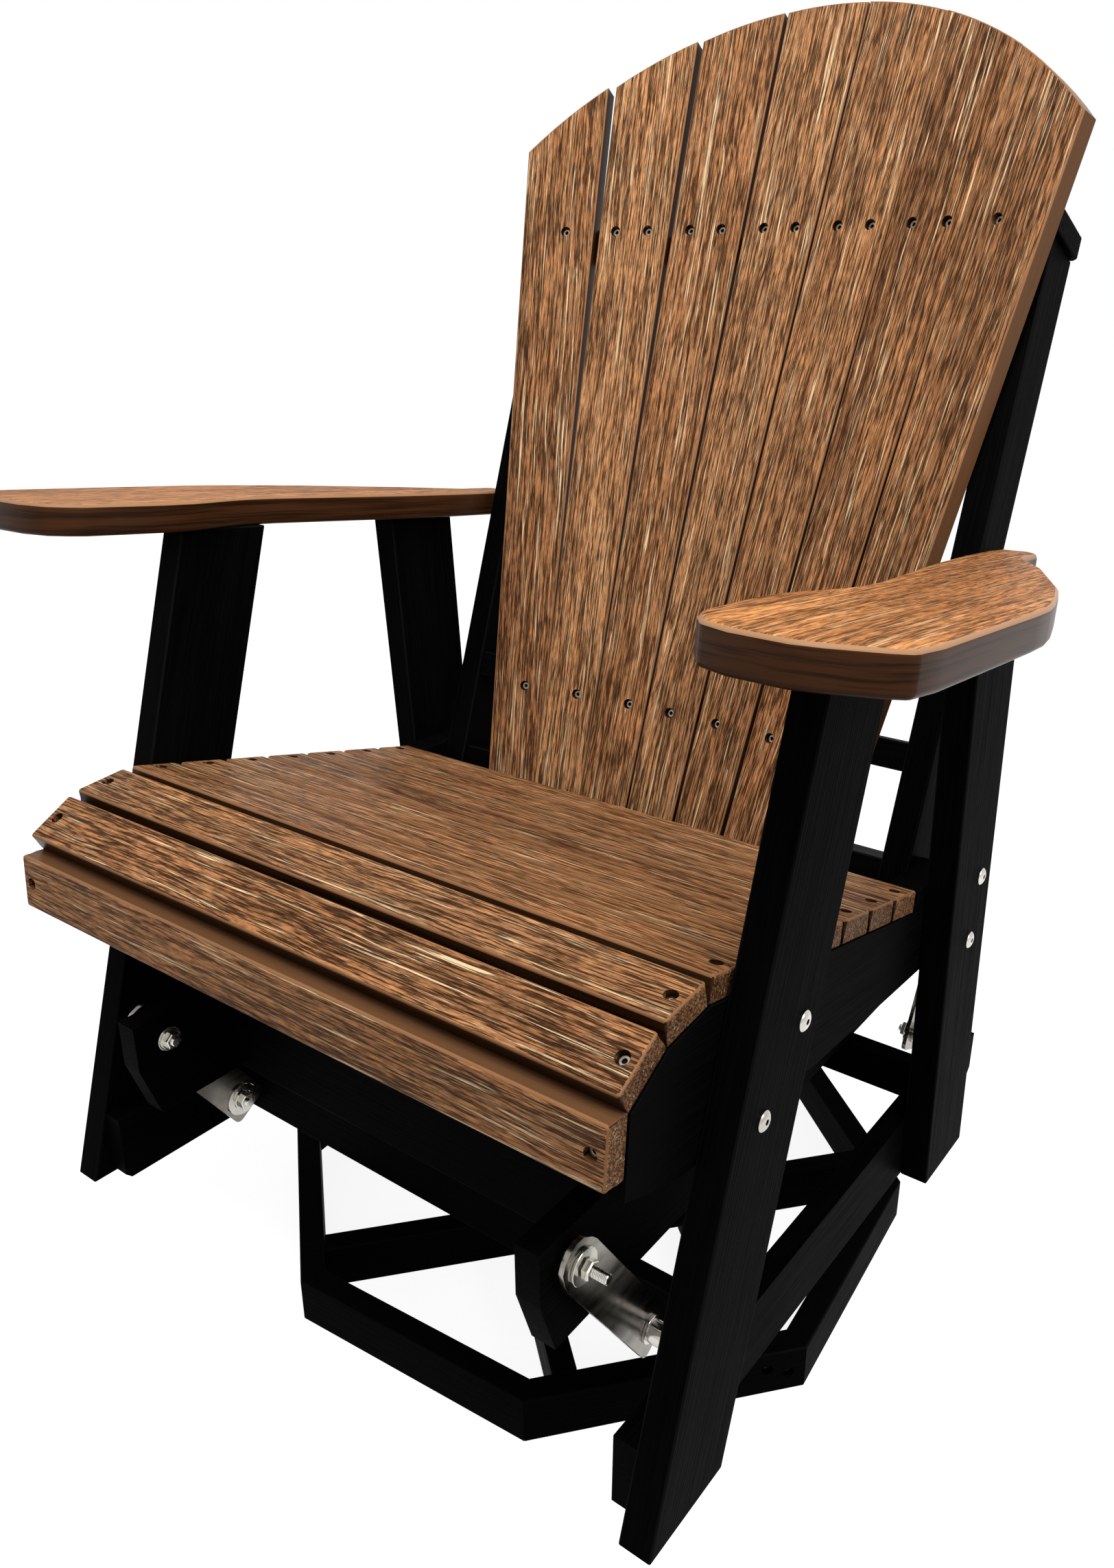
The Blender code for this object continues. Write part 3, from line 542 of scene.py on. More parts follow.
def slatRowTree():
    # A rounded board on every point: a gridded cube whose outer cells are pulled into the corners.
    tree, given, result = newTree(
        "slatRow",
        [
            ("Slat Size", "NodeSocketVector", (0.585, 0.0447, 0.019)),
            ("Edge Radius", "NodeSocketFloat", 0.0035),
            ("Under Share", "NodeSocketFloat", 0.2),
            ("Finish", "NodeSocketMaterial", None),
        ],
    )
    cells = 8
    share = 3 / 7
    soft = 0.05
    cube = put(
        tree,
        "GeometryNodeMeshCube",
        {"Size": (2, 2, 2), "Vertices X": cells, "Vertices Y": cells, "Vertices Z": cells},
    )
    place = put(tree, "GeometryNodeInputPosition").outputs[0]
    height = put(tree, "ShaderNodeSeparateXYZ", {0: place}).outputs[2]
    under = ranged(tree, height, -soft, soft, given["Under Share"], 1.0)
    reach = times(tree, under, given["Edge Radius"])
    radius = put(tree, "ShaderNodeCombineXYZ", {0: reach, 1: reach, 2: reach}).outputs[0]
    half = vectorStep(tree, "MULTIPLY", given["Slat Size"], (0.5, 0.5, 0.5))
    inner = vectorStep(tree, "SUBTRACT", half, radius)
    size = vectorStep(tree, "ABSOLUTE", place)
    sign = vectorStep(tree, "SIGN", place)
    near = vectorStep(tree, "MINIMUM", size, (share,) * 3)
    near = vectorStep(tree, "MULTIPLY", near, (1 / share,) * 3)
    near = vectorStep(tree, "MULTIPLY", near, inner)
    far = vectorStep(tree, "SUBTRACT", size, (share,) * 3)
    far = vectorStep(tree, "MAXIMUM", far, (0, 0, 0))
    far = vectorStep(tree, "MULTIPLY", far, (1 / (1 - share),) * 3)
    far = vectorStep(tree, "MULTIPLY", far, radius)
    away = vectorStep(tree, "NORMALIZE", far)
    away = vectorStep(tree, "MULTIPLY", away, radius)
    both = vectorStep(tree, "ADD", near, away)
    both = vectorStep(tree, "MULTIPLY", both, sign)
    board = put(tree, "GeometryNodeSetPosition", {"Geometry": cube.outputs["Mesh"], "Position": both})
    turn = put(tree, "GeometryNodeInputNamedAttribute", {"Name": "turn"}, data_type="FLOAT_VECTOR")
    rotation = put(tree, "FunctionNodeEulerToRotation", {0: turn.outputs[0]})
    placed = put(
        tree,
        "GeometryNodeInstanceOnPoints",
        {"Points": given["Geometry"], "Instance": board.outputs[0], "Rotation": rotation.outputs[0]},
    )
    real = put(tree, "GeometryNodeRealizeInstances", {0: placed.outputs[0]})
    finish = put(tree, "GeometryNodeSetMaterial", {"Geometry": real.outputs[0], "Material": given["Finish"]})
    tree.links.new(finish.outputs[0], result[0])
    return tree


def fastenerRowTree():
    # One fastener on every point, facing out, each turned by its own amount.
    tree, given, result = newTree(
        "fastenerRow",
        [
            ("Fastener", "NodeSocketObject", None),
            ("Size", "NodeSocketFloat", 1.0),
            ("Most Turn", "NodeSocketFloat", math.tau),
            ("Turn Seed", "NodeSocketInt", 3),
            ("Finish", "NodeSocketMaterial", None),
        ],
    )
    source = put(tree, "GeometryNodeObjectInfo", {"Object": given["Fastener"]})
    facing = put(tree, "GeometryNodeInputNamedAttribute", {"Name": "facing"}, data_type="FLOAT_VECTOR")
    aimed = put(tree, "FunctionNodeAlignRotationToVector", {"Vector": facing.outputs[0]}, axis="Z")
    inputs = {3: given["Most Turn"], "Seed": given["Turn Seed"]}
    draw = put(tree, "FunctionNodeRandomValue", inputs, data_type="FLOAT")
    spin = put(tree, "FunctionNodeAxisAngleToRotation", {"Axis": (0, 0, 1), "Angle": draw.outputs[1]})
    turned = put(
        tree,
        "FunctionNodeRotateRotation",
        {"Rotation": aimed.outputs[0], "Rotate By": spin.outputs[0]},
        rotation_space="LOCAL",
    )
    size = put(tree, "ShaderNodeCombineXYZ", {0: given["Size"], 1: given["Size"], 2: given["Size"]})
    placed = put(
        tree,
        "GeometryNodeInstanceOnPoints",
        {
            "Points": given["Geometry"],
            "Instance": source.outputs["Geometry"],
            "Rotation": turned.outputs[0],
            "Scale": size.outputs[0],
        },
    )
    real = put(tree, "GeometryNodeRealizeInstances", {0: placed.outputs[0]})
    finish = put(tree, "GeometryNodeSetMaterial", {"Geometry": real.outputs[0], "Material": given["Finish"]})
    tree.links.new(finish.outputs[0], result[0])
    return tree


def ringTree():
    # One mitred board repeated round the middle.
    tree, given, result = newTree(
        "mitredRing",
        [
            ("Board", "NodeSocketObject", None),
            ("Boards", "NodeSocketInt", 8),
            ("First Heading", "NodeSocketFloat", 0.0),
            ("Finish", "NodeSocketMaterial", None),
        ],
    )
    source = put(tree, "GeometryNodeObjectInfo", {"Object": given["Board"]})
    inputs = {"Geometry": given["Geometry"], "Amount": given["Boards"]}
    row = put(tree, "GeometryNodeDuplicateElements", inputs, domain="POINT")
    number = row.outputs["Duplicate Index"]
    tally = put(tree, "ShaderNodeMath", {0: math.tau, 1: given["Boards"]}, operation="DIVIDE")
    heading = put(
        tree,
        "ShaderNodeMath",
        {0: number, 1: tally.outputs[0], 2: given["First Heading"]},
        operation="MULTIPLY_ADD",
    )
    spin = put(tree, "FunctionNodeAxisAngleToRotation", {"Axis": (0, 0, 1), "Angle": heading.outputs[0]})
    placed = put(
        tree,
        "GeometryNodeInstanceOnPoints",
        {
            "Points": row.outputs["Geometry"],
            "Instance": source.outputs["Geometry"],
            "Rotation": spin.outputs[0],
        },
    )
    real = put(tree, "GeometryNodeRealizeInstances", {0: placed.outputs[0]})
    finish = put(tree, "GeometryNodeSetMaterial", {"Geometry": real.outputs[0], "Material": given["Finish"]})
    tree.links.new(finish.outputs[0], result[0])
    return tree


slatRow = slatRowTree()
fastenerRow = fastenerRowTree()
mitredRing = ringTree()


# Fasteners, drawn once along +Z and repeated by the trees

def lathed(shape, profile, steps=24, recessFrom=None):
    # A closed turning from (radius, height) pairs. Points from number recessFrom on lie in the drive recess,
    # which is painted dark as shade.
    recess = shape.verts.layers.float.get("recess") or shape.verts.layers.float.new("recess")
    rings = []
    for index, (radius, height) in enumerate(profile):
        count = 1 if radius == 0 else steps
        ring = []
        for step in range(count):
            angle = math.tau * step / count
            vertex = shape.verts.new((radius * math.cos(angle), radius * math.sin(angle), height))
            vertex[recess] = 1.0 if recessFrom is not None and index >= recessFrom else 0.0
            ring.append(vertex)
        rings.append(ring)
    faces = []
    for first, second in zip(rings, rings[1:]):
        for step in range(steps):
            a, b = first[step % len(first)], first[(step + 1) % len(first)]
            c, d = second[(step + 1) % len(second)], second[step % len(second)]
            corners = list(dict.fromkeys((a, b, c, d)))
            if len(corners) > 2:
                faces.append(shape.faces.new(corners))
    bmesh.ops.recalc_face_normals(shape, faces=faces)


def hexed(shape, acrossFlats, low, high, chamfer):
    # A six-sided head or nut, chamfered at its outer end.
    radius = acrossFlats / 2 / math.cos(math.pi / 6)
    levels = ((radius, low), (radius, high - chamfer), (radius - chamfer, high))
    rings = []
    for size, height in levels:
        turns = [math.tau * step / 6 for step in range(6)]
        rings.append([shape.verts.new((size * math.cos(t), size * math.sin(t), height)) for t in turns])
    faces = [shape.faces.new(rings[0]), shape.faces.new(rings[-1])]
    for first, second in zip(rings, rings[1:]):
        for step in range(6):
            after = (step + 1) % 6
            faces.append(shape.faces.new((first[step], first[after], second[after], second[step])))
    bmesh.ops.recalc_face_normals(shape, faces=faces)


def fastenerObject(name, shape):
    mesh = bpy.data.meshes.new(name)
    shape.to_mesh(mesh)
    shape.free()
    return newObject(name, mesh)


def threaded(low, high, radius, pitch, depth):
    # Points of a threaded end, from its root up to its chamfered tip.
    points = [(radius, low)]
    height = low + pitch
    while height < high - pitch:
        points += [(radius, height), (radius - depth, height + pitch / 2)]
        height += pitch
    return points + [(radius, high - pitch / 2), (radius - 2 * depth, high), (0.0, high)]


screwLook = {
    "holeRadius": 0.0050,
    "holeDepth": 0.0070,
    "headRadius": 0.0039,
    "headTop": 0.0042,
    "headEdge": 0.0005,
    "drive": 0.0017,
    "driveEdge": 0.0003,
    "driveFloor": 0.0004,
    "offFloor": 0.00005,
    "steps": 20,
}
holeSize = (screwLook["holeRadius"], screwLook["holeDepth"])


def slatScrew():
    look = screwLook
    shape = bmesh.new()
    base = -look["holeDepth"] + look["offFloor"]
    head, top, drive = look["headRadius"], -look["headTop"], look["drive"]
    profile = [
        (0.0, base),
        (head, base),
        (head, top - look["headEdge"]),
        (head - look["headEdge"], top),
        (drive + look["driveEdge"], top),
        (drive, top - look["driveEdge"]),
        (drive, base + look["driveFloor"]),
        (0.0, base + look["driveFloor"]),
    ]
    lathed(shape, profile, look["steps"], 6)
    return fastenerObject("slatScrew", shape)


legBoltLook = {
    "radius": 0.0076,
    "height": 0.0031,
    "drive": 0.0020,
    "under": 0.0002,
    "skirt": 0.0008,
    "steps": 28,
}


def legBolt():
    look = legBoltLook
    shape = bmesh.new()
    radius, height, drive = look["radius"], look["height"], look["drive"]
    under, skirt = look["under"], look["skirt"]
    profile = [
        (0.0, -under),
        (radius, -under),
        (radius, skirt),
        (radius * 0.95, 0.0014),
        (radius * 0.80, height * 0.72),
        (radius * 0.58, height * 0.95),
        (drive + 0.0008, height),
        (drive + 0.0001, height - 0.0003),
        (drive, skirt),
        (0.0, skirt),
    ]
    lathed(shape, profile, look["steps"], 8)
    return fastenerObject("legBolt", shape)


pivotLook = {
    "shank": 0.004,
    "shankSteps": 16,
    "pitch": 0.00125,
    "thread": 0.0003,
    "flats": 0.013,
    "chamfer": 0.0008,
    "washerEdge": 0.0003,
    "washerSteps": 36,
    "flangeThickness": 0.0016,
    "nutStart": 0.0013,
    "threadStart": 0.001,
    "mostTurn": 1.2,
}
upperLook = {
    "innerWasher": (0.0110, 0.0018),
    "spacer": 0.0120,
    "outerWasher": (0.0138, 0.0022),
    "flange": 0.0092,
    "nut": 0.0066,
    "innerTip": 0.0022,
    "outerTip": 0.0125,
}
lowerLook = {
    "innerWasher": (0.0160, 0.0025),
    "outerWasher": (0.0112, 0.0025),
    "flange": 0.0096,
    "nut": 0.0070,
    "tip": 0.0030,
    "sleeve": 0.0092,
    "sleeveSteps": 28,
}


def cylinder(shape, radius, low, high, steps):
    lathed(shape, [(0.0, low), (radius, low), (radius, high), (0.0, high)], steps)


def washer(shape, radius, low, high):
    edge = pivotLook["washerEdge"]
    rim = [(radius - edge, low), (radius, low + edge), (radius, high - edge), (radius - edge, high)]
    lathed(shape, [(0.0, low)] + rim + [(0.0, high)], pivotLook["washerSteps"])


def hexHead(shape, face, outward, flange, length, tip):
    # A hex nut on a bolt's end, drawn outward (+1) or inward (-1) from its bearing face.
    look = pivotLook
    part = bmesh.new()
    if flange:
        washer(part, flange, 0.0, look["flangeThickness"])
    hexed(part, look["flats"], look["nutStart"], length, look["chamfer"])
    start = look["threadStart"]
    end = threaded(start, length + tip, look["shank"], look["pitch"], look["thread"])
    lathed(part, [(0.0, start)] + end, look["shankSteps"])
    mesh = bpy.data.meshes.new("part")
    turn = Matrix.Rotation(0 if outward > 0 else math.pi, 4, "X")
    part.transform(Matrix.Translation((0, 0, face)) @ turn)
    part.to_mesh(mesh)
    part.free()
    shape.from_mesh(mesh)


def upperPivot(faces):
    # Places along the axis, from the middle of the chair outwards.
    look = upperLook
    shape = bmesh.new()
    radius, thickness = look["innerWasher"]
    inside = faces["cheekInside"] - thickness
    washer(shape, radius, inside, faces["cheekInside"])
    hexHead(shape, inside, -1, look["flange"], look["nut"], look["innerTip"])
    washer(shape, look["spacer"], faces["cheekOutside"], faces["plateInside"])
    cylinder(shape, pivotLook["shank"], faces["cheekInside"], faces["plateOutside"], pivotLook["shankSteps"])
    radius, thickness = look["outerWasher"]
    outside = faces["plateOutside"] + thickness
    washer(shape, radius, faces["plateOutside"], outside)
    hexHead(shape, outside, 1, None, look["nut"], look["outerTip"])
    return fastenerObject("upperPivot", shape)


def lowerPivot(faces):
    look = lowerLook
    shape = bmesh.new()
    radius, thickness = look["innerWasher"]
    inside = faces["plateInside"] - thickness
    washer(shape, radius, inside, faces["plateInside"])
    hexHead(shape, inside, -1, look["flange"], look["nut"], look["tip"])
    radius, thickness = look["outerWasher"]
    outside = faces["plateOutside"] + thickness
    washer(shape, radius, faces["plateOutside"], outside)
    cylinder(shape, look["sleeve"], outside, faces["railInside"], look["sleeveSteps"])
    cylinder(shape, pivotLook["shank"], faces["plateInside"], faces["plateOutside"], pivotLook["shankSteps"])
    return fastenerObject("lowerPivot", shape)


def fastenerPiece(name, source, body, spots, material, replaced=(), mostTurn=math.tau):
    # Each spot is a place and the way that the fastener there faces.
    values = {"Fastener": source, "Size": 1.0, "Most Turn": mostTurn, "Turn Seed": 3, "Finish": material}
    places, facings = [s[0] for s in spots], [s[1] for s in spots]
    mesh = grownMesh(name, fastenerRow, places, {"facing": facings}, values)
    return finishedPiece(name, mesh, body, replaced, material)


# Seat: ten slats, each with a screw near both ends

seat = {
    "slats": 10,
    "edge": millimetres(2.4),
    "screwAcross": 0.2814,
    "apronLift": millimetres(1.2),
    "upright": 0.2,
}
seatNodes = [f"seat_slat_{number:02d}" for number in range(1, seat["slats"] + 1)]


def seatSlatFrame(nodeName):
    # Broad face up or forward; the grain runs from side to side.
    board = boardFrame(nodeName, (1, 0, 0))
    through = board["axes"][2].copy()
    if through.z < seat["upright"] and through.y > 0 or through.z < -seat["upright"]:
        through = -through
    along = Vector((1, 0, 0))
    board["axes"] = Matrix((along, through.cross(along), through))
    return board


seatBoards = [seatSlatFrame(name) for name in seatNodes]
seatBoards[0]["middle"].z += seat["apronLift"]
# The apron's top side gets a weaker painted light.
seatBoards[0]["paintedLightSide"] = Vector((0, 0, 1))
slatSize = seatBoards[0]["half"] * 2
seatMesh = grownMesh(
    "seatSlats",
    slatRow,
    [board["middle"] for board in seatBoards],
    {"turn": [board["axes"].transposed().to_euler() for board in seatBoards]},
    {"Slat Size": tuple(slatSize), "Edge Radius": seat["edge"], "Finish": tanFinish},
)
seatHoles = []
for board in seatBoards:
    outward = board["axes"][2].copy()
    for sign in (1, -1):
        place = board["middle"] + outward * board["half"].z
        seatHoles.append((place + Vector((sign * seat["screwAcross"], 0, 0)), outward))
seatMesh = boredMesh(seatMesh, seatHoles, *holeSize)
markGrain(seatMesh, seatBoards, seat)
finishedPiece("seatSlats", seatMesh, "chair", seatNodes, tanFinish)
print("seat slats made")


# Back: seven slats, screwed to the upper and the lower rail

back = {
    "slats": 7,
    "upperZ": 0.9205,
    "lowerZ": 0.4778,
    "upperScrews": (0.0169, 0.0621, 0.0960, 0.1396, 0.1744, 0.2242),
    "edgeRoom": millimetres(6),
    "boxRoom": 0.004,
}
backNodes = [f"back_slat_{number:02d}" for number in range(1, back["slats"] + 1)]
backHoles = []


def onSlat(board, x, z):
    # The point on the slat's front face at this x and z.
    outward = board["axes"][2] if board["axes"][2].y < 0 else -board["axes"][2]
    face = board["middle"] + outward * board["half"].z
    y = face.y - (outward.x * (x - face.x) + outward.z * (z - face.z)) / outward.y
    return Vector((x, y, z)), outward.copy()


for number, nodeName in enumerate(backNodes):
    low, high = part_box(nodeName)
    board = boardFrame(nodeName)
    inside = []
    for x in [sign * across for across in back["upperScrews"] for sign in (1, -1)]:
        place, outward = onSlat(board, x, back["upperZ"])
        local = board["axes"] @ (place - board["middle"])
        inBox = low.x + back["boxRoom"] < x < high.x - back["boxRoom"]
        if abs(local.y) < board["half"].y - back["edgeRoom"] and inBox:
            inside.append((abs(local.y), place, outward))
    wanted = 2 if 0 < number < back["slats"] - 1 else 1
    inside = sorted(inside, key=lambda row: row[0])[:wanted]
    holes = [(place, outward) for _, place, outward in inside]
    middle, along = board["middle"], board["axes"][0]
    middleX = middle.x + (back["lowerZ"] - middle.z) * along.x / along.z
    holes.append(onSlat(board, middleX, back["lowerZ"]))
    backHoles += holes
    # The outer sides of the end slats get a weaker painted light.
    paintedLightSide = {0: (-1, 0, 0), back["slats"] - 1: (1, 0, 0)}.get(number)
    style = boardStyles["backSlat"]
    boardPiece(f"backSlat{number + 1}", nodeName, style, "tan_board", holes=holes, paintedLightSide=paintedLightSide)
print("back slats made")


# Arms, and the black boards of the chair, the swivel frame and the base

for side in sides:
    axes = ((0, 1, 0), None)
    boardPiece(f"arm{side.title()}", f"arm_{side}", boardStyles["arm"], "tan_board", axes, finish=armFinish)

frameBoards = {
    "frontLeg{}": "front_leg_{}",
    "rearLeg{}": "rear_leg_{}",
    "seatSide{}": "seat_side_{}",
    "bottomRail{}": "bottom_rail_{}",
    "backStile{}": "back_stile_{}",
    "frameSide{}": "frame_side_{}",
}
for pieceName, nodeName in frameBoards.items():
    for side in sides:
        name = pieceName.format(side.title())
        boardPiece(name, nodeName.format(side), boardStyles["frameBoard"], "black_board")
loneBoards = {
    "frontStretcher": "front_stretcher",
    "rearStretcher": "rear_stretcher",
    "backUpperRail": "back_upper_rail",
    "backLowerRail": "back_lower_rail",
    "backFootRail": "back_foot_rail",
    "frameCrossFront": "frame_cross_front",
    "frameCrossRear": "frame_cross_rear",
    "frameCentreBoard": "frame_centre_board",
    "floorBeam1": "base_beam_01",
    "floorBeam2": "base_beam_02",
    "floorBeam3": "base_beam_03",
}
for pieceName, nodeName in loneBoards.items():
    boardPiece(pieceName, nodeName, boardStyles["frameBoard"], "black_board")
upright = ((0, 0, 1), (1, 0, 0))
boardPiece("pedestal", "base_pedestal", boardStyles["frameBoard"], "black_board", upright)


def lengthened(mesh):
    # Draws the plate's upper end out a little, past the washer.
    middle, spread = spreadOf([v.co.copy() for v in mesh.vertices])
    axis = settled(spread, Vector((0, 0.3, 1)))
    axis *= math.copysign(1, axis.z)
    furthest = max((v.co - middle).dot(axis) for v in mesh.vertices)
    for vertex in mesh.vertices:
        if (vertex.co - middle).dot(axis) > furthest - plateStyle["endZone"]:
            vertex.co += axis * plateStyle["stretch"]


plateStyle = {"endZone": millimetres(7), "stretch": millimetres(4)}
for end in ("front", "rear"):
    for side in sides:
        nodeName = f"hanger_{end}_{side}"
        mesh = easedMesh(nodeName, boardStyles["plate"])
        lengthened(mesh)
        name = f"{end}Hanger{side.title()}"
        finishedPiece(name, mesh, bodyOf[nodeName], [nodeName], plateFinish)
for nodeName in ("swivel_upper_plate", "swivel_lower_plate"):
    nodes[nodeName].data.materials.clear()
    nodes[nodeName].data.materials.append(zincFinish)
print("boards and plates made")


# Floor ring: eight mitred boards with their end screws

ring = {
    "boards": 8,
    "heading": math.radians(49.52),
    "wall": 0.0224,
    "joint": 0.0002,
    "edge": millimetres(1.5),
    "steps": 3,
    "screws": ((0.0868, 0.0262), (0.1062, 0.0190)),
}
ringLow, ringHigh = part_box("base_ring")
ringPoints = [v.co for v in nodes["base_ring"].data.vertices]
ringMiddle = Vector(((ringLow.x + ringHigh.x) / 2, (ringLow.y + ringHigh.y) / 2, 0))
ringReach = max((Vector((p.x, p.y, 0)) - ringMiddle).length for p in ringPoints)
ring["apothem"] = ringReach * math.cos(math.pi / ring["boards"])
ring["height"] = ringHigh.z


def ringBoard():
    # The board lies at +X, with its grain along Y and its ends cut to the mitre.
    shape = bmesh.new()
    slope = math.tan(math.pi / ring["boards"])
    outer, inner = ring["apothem"], ring["apothem"] - ring["wall"]
    corners = []
    for x, sign in ((inner, -1), (outer, -1), (outer, 1), (inner, 1)):
        corners.append((x, sign * (x * slope - ring["joint"])))
    rows = [[shape.verts.new((x, y, z)) for x, y in corners] for z in (0.0, ring["height"])]
    shape.faces.new(list(reversed(rows[0])))
    shape.faces.new(rows[1])
    for step in range(4):
        after = (step + 1) % 4
        shape.faces.new((rows[0][step], rows[0][after], rows[1][after], rows[1][step]))
    lengthwise = []
    for edge in shape.edges:
        across = edge.verts[0].co - edge.verts[1].co
        if abs(across.x) + abs(across.z) < millimetres(1):
            lengthwise.append(edge)
    bmesh.ops.bevel(
        shape,
        geom=lengthwise,
        offset=ring["edge"],
        offset_type="OFFSET",
        segments=ring["steps"],
        profile=0.5,
        affect="EDGES",
        clamp_overlap=True,
    )
    mesh = bpy.data.meshes.new("ringBoard")
    shape.to_mesh(mesh)
    shape.free()
    return newObject("ringBoard", mesh)


source = ringBoard()
ringMesh = grownMesh(
    "floorRing",
    mitredRing,
    [ringMiddle],
    {},
    {"Board": source, "Boards": ring["boards"], "First Heading": ring["heading"], "Finish": blackFinish},
)
bpy.data.objects.remove(source, do_unlink=True)
ringBoards = []
ringScrews = []
for number in range(ring["boards"]):
    heading = ring["heading"] + math.tau * number / ring["boards"]
    out = Vector((math.cos(heading), math.sin(heading), 0))
    along = Vector((-out.y, out.x, 0))
    centre = ringMiddle + out * (ring["apothem"] - ring["wall"] / 2) + Vector((0, 0, ring["height"] / 2))
    halfLength = ring["apothem"] * math.tan(math.pi / ring["boards"])
    half = Vector((halfLength, ring["height"] / 2, ring["wall"] / 2))
    axes = Matrix((along, out.cross(along), out))
    ringBoards.append({"middle": centre, "axes": axes, "half": half, "tone": toneDraw.random()})
    if number % 2 == 0:
        for place, height in ring["screws"]:
            spot = ringMiddle + out * ring["apothem"] + along * place + Vector((0, 0, height))
            ringScrews.append((spot, out))
ringMesh = boredMesh(ringMesh, ringScrews, *holeSize)
markGrain(ringMesh, ringBoards, ring)
finishedPiece("floorRing", ringMesh, "base", ["base_ring"], blackFinish)
print("floor ring made")


# Screws and bolts

screw = slatScrew()
bolt = legBolt()
fastenerPiece("slatScrews", screw, "chair", seatHoles + backHoles, screwFinish)
fastenerPiece("ringScrews", screw, "base", ringScrews, ringScrewFinish)
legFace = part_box("front_leg_left")[1].x
legBoltPlaces = ((-0.2050, 0.4240), (-0.2543, 0.3751), (0.1327, 0.3932), (0.1224, 0.3352))
legSpots = []
for y, z in legBoltPlaces:
    for sign in (1, -1):
        legSpots.append((Vector((sign * legFace, y, z)), Vector((sign, 0, 0))))
fastenerPiece("legBolts", bolt, "chair", legSpots, boltFinish)

pivotFaces = {
    "cheekInside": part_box("frame_side_left")[0].x,
    "cheekOutside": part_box("frame_side_left")[1].x,
    "plateInside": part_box("hanger_front_left")[0].x,
    "plateOutside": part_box("hanger_front_left")[1].x,
    "railInside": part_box("bottom_rail_left")[0].x,
}
for level, body, maker in (("upper", "swivel_frame", upperPivot), ("lower", "chair", lowerPivot)):
    source = maker(pivotFaces)
    spots = []
    replaced = []
    for end in ("front", "rear"):
        for side, sign in zip(sides, (1, -1)):
            nodeName = f"{level}_bolt_{end}_{side}"
            low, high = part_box(nodeName)
            spots.append((Vector((0, (low.y + high.y) / 2, (low.z + high.z) / 2)), Vector((sign, 0, 0))))
            replaced.append(nodeName)
    name = f"{level}PivotBolts"
    turn = pivotLook["mostTurn"]
    fastenerPiece(name, source, body, spots, boltFinish, replaced, turn)
    bpy.data.objects.remove(source, do_unlink=True)
for source in (screw, bolt):
    bpy.data.objects.remove(source, do_unlink=True)
print("fasteners made")


# Studio: pale floor, soft lights, and the camera

studio = {
    "floorSize": 40.0,
    "floorBounce": 0.25,
    "floorSeen": 0.50,
    "floorGlow": 1.80,
    "skyLevel": 0.27,
    "keyPlace": (0.35, -0.62, 2.0),
    "keyPower": 23.5,
    "keySize": 0.9,
    "sidePlace": (2.4, -0.2, 1.9),
    "sidePower": 30.0,
    "sideSize": 1.2,
    "fillPlace": (-1.8, -1.8, 1.1),
    "fillPower": 6.0,
    "fillSize": 1.5,
    "aim": (0.0, 0.0, 0.60),
}


def seenDirectly(tree):
    path = put(tree, "ShaderNodeLightPath")
    inputs = {0: path.outputs["Is Camera Ray"], 1: path.outputs["Is Glossy Ray"]}
    seen = put(tree, "ShaderNodeMath", inputs, operation="MAXIMUM")
    inputs = {0: seen.outputs[0], 1: path.outputs["Is Transmission Ray"]}
    return put(tree, "ShaderNodeMath", inputs, operation="MAXIMUM").outputs[0]


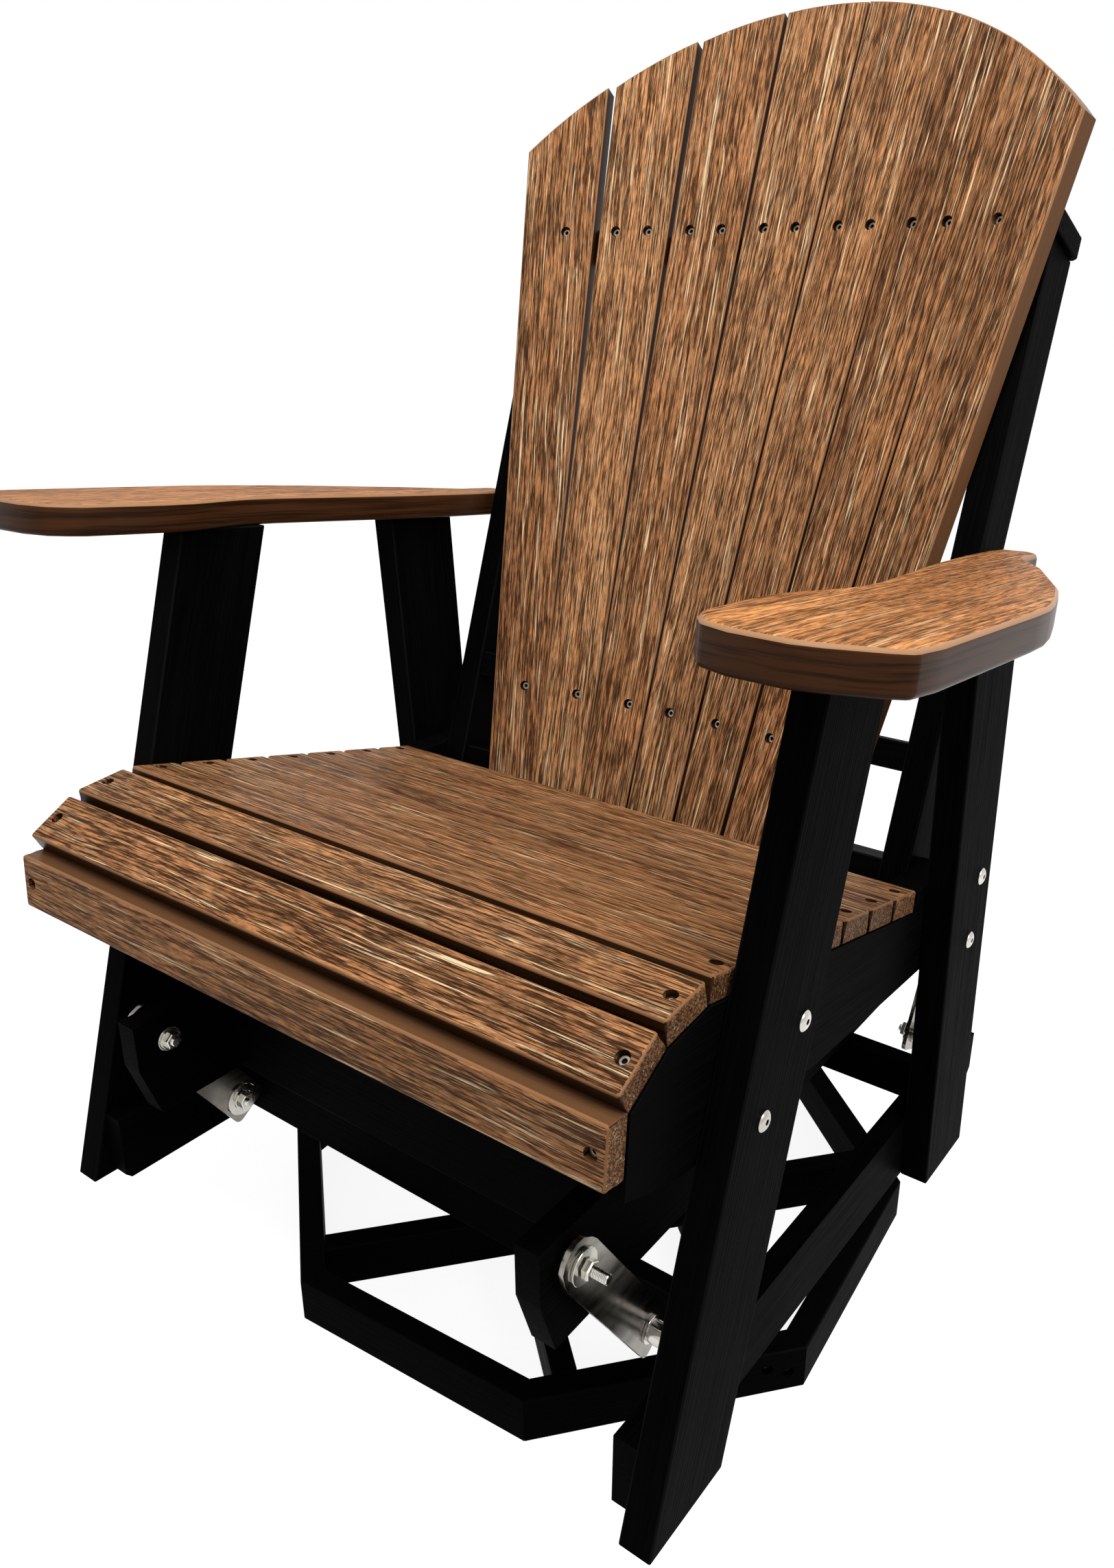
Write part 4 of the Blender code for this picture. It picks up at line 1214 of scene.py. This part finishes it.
def makeFloor():
    half = studio["floorSize"] / 2
    mesh = bpy.data.meshes.new("floor")
    corners = [(-half, -half, 0), (half, -half, 0), (half, half, 0), (-half, half, 0)]
    mesh.from_pydata(corners, [], [(0, 1, 2, 3)])
    material = bpy.data.materials.new("paleFloor")
    material.use_nodes = True
    tree = material.node_tree
    tree.nodes.clear()
    lit = put(tree, "ShaderNodeBsdfDiffuse", {"Color": (0.9, 0.9, 0.9, 1)})
    glow = put(tree, "ShaderNodeEmission", {"Color": (1, 1, 1, 1), "Strength": studio["floorGlow"]})
    seen = put(tree, "ShaderNodeMixShader", {0: studio["floorSeen"], 1: glow.outputs[0], 2: lit.outputs[0]})
    bounce = put(tree, "ShaderNodeBsdfDiffuse", {"Color": (studio["floorBounce"],) * 3 + (1,)})
    inputs = {0: seenDirectly(tree), 1: bounce.outputs[0], 2: seen.outputs[0]}
    mixed = put(tree, "ShaderNodeMixShader", inputs)
    result = put(tree, "ShaderNodeOutputMaterial", {"Surface": mixed.outputs[0]})
    result.is_active_output = True
    mesh.materials.append(material)
    newObject("floor", mesh)


def makeSky():
    world = bpy.data.worlds.new("studio")
    world.use_nodes = True
    tree = world.node_tree
    tree.nodes.clear()
    soft = put(tree, "ShaderNodeBackground", {"Color": (1, 1, 1, 1), "Strength": studio["skyLevel"]})
    white = put(tree, "ShaderNodeBackground", {"Color": (1, 1, 1, 1), "Strength": 1.0})
    mixed = put(tree, "ShaderNodeMixShader", {0: seenDirectly(tree), 1: soft.outputs[0], 2: white.outputs[0]})
    put(tree, "ShaderNodeOutputWorld", {"Surface": mixed.outputs[0]})
    scene.world = world


def makeLight(name, place, power, size):
    lamp = bpy.data.lights.new(name, "AREA")
    lamp.energy = power
    lamp.size = size
    obj = newObject(name, lamp)
    obj.location = place
    obj.rotation_euler = (Vector(studio["aim"]) - Vector(place)).to_track_quat("-Z", "Y").to_euler()


view = {
    "place": (0.6095, -0.8369, 0.8689),
    "turnDegrees": (68.144, 0.0, 36.395),
    "focal": 1781.78,
    "width": 1624,
    "height": 2286,
    "middle": (854.88, 1131.13),
    "sensor": 36.0,
}


def makeCamera():
    camera = bpy.data.cameras.new("camera")
    camera.sensor_fit = "VERTICAL"
    camera.sensor_height = view["sensor"]
    camera.lens = view["sensor"] * view["focal"] / view["height"]
    camera.shift_x = (view["width"] / 2 - view["middle"][0]) / view["height"]
    camera.shift_y = (view["middle"][1] - view["height"] / 2) / view["height"]
    camera.clip_start = 0.05
    obj = newObject("camera", camera)
    obj.location = view["place"]
    obj.rotation_euler = [math.radians(turn) for turn in view["turnDegrees"]]
    scene.camera = obj


makeFloor()
makeSky()
makeLight("keyLight", studio["keyPlace"], studio["keyPower"], studio["keySize"])
makeLight("sideLight", studio["sidePlace"], studio["sidePower"], studio["sideSize"])
makeLight("fillLight", studio["fillPlace"], studio["fillPower"], studio["fillSize"])
makeCamera()
scene.view_settings.view_transform = "Standard"
print("studio made")
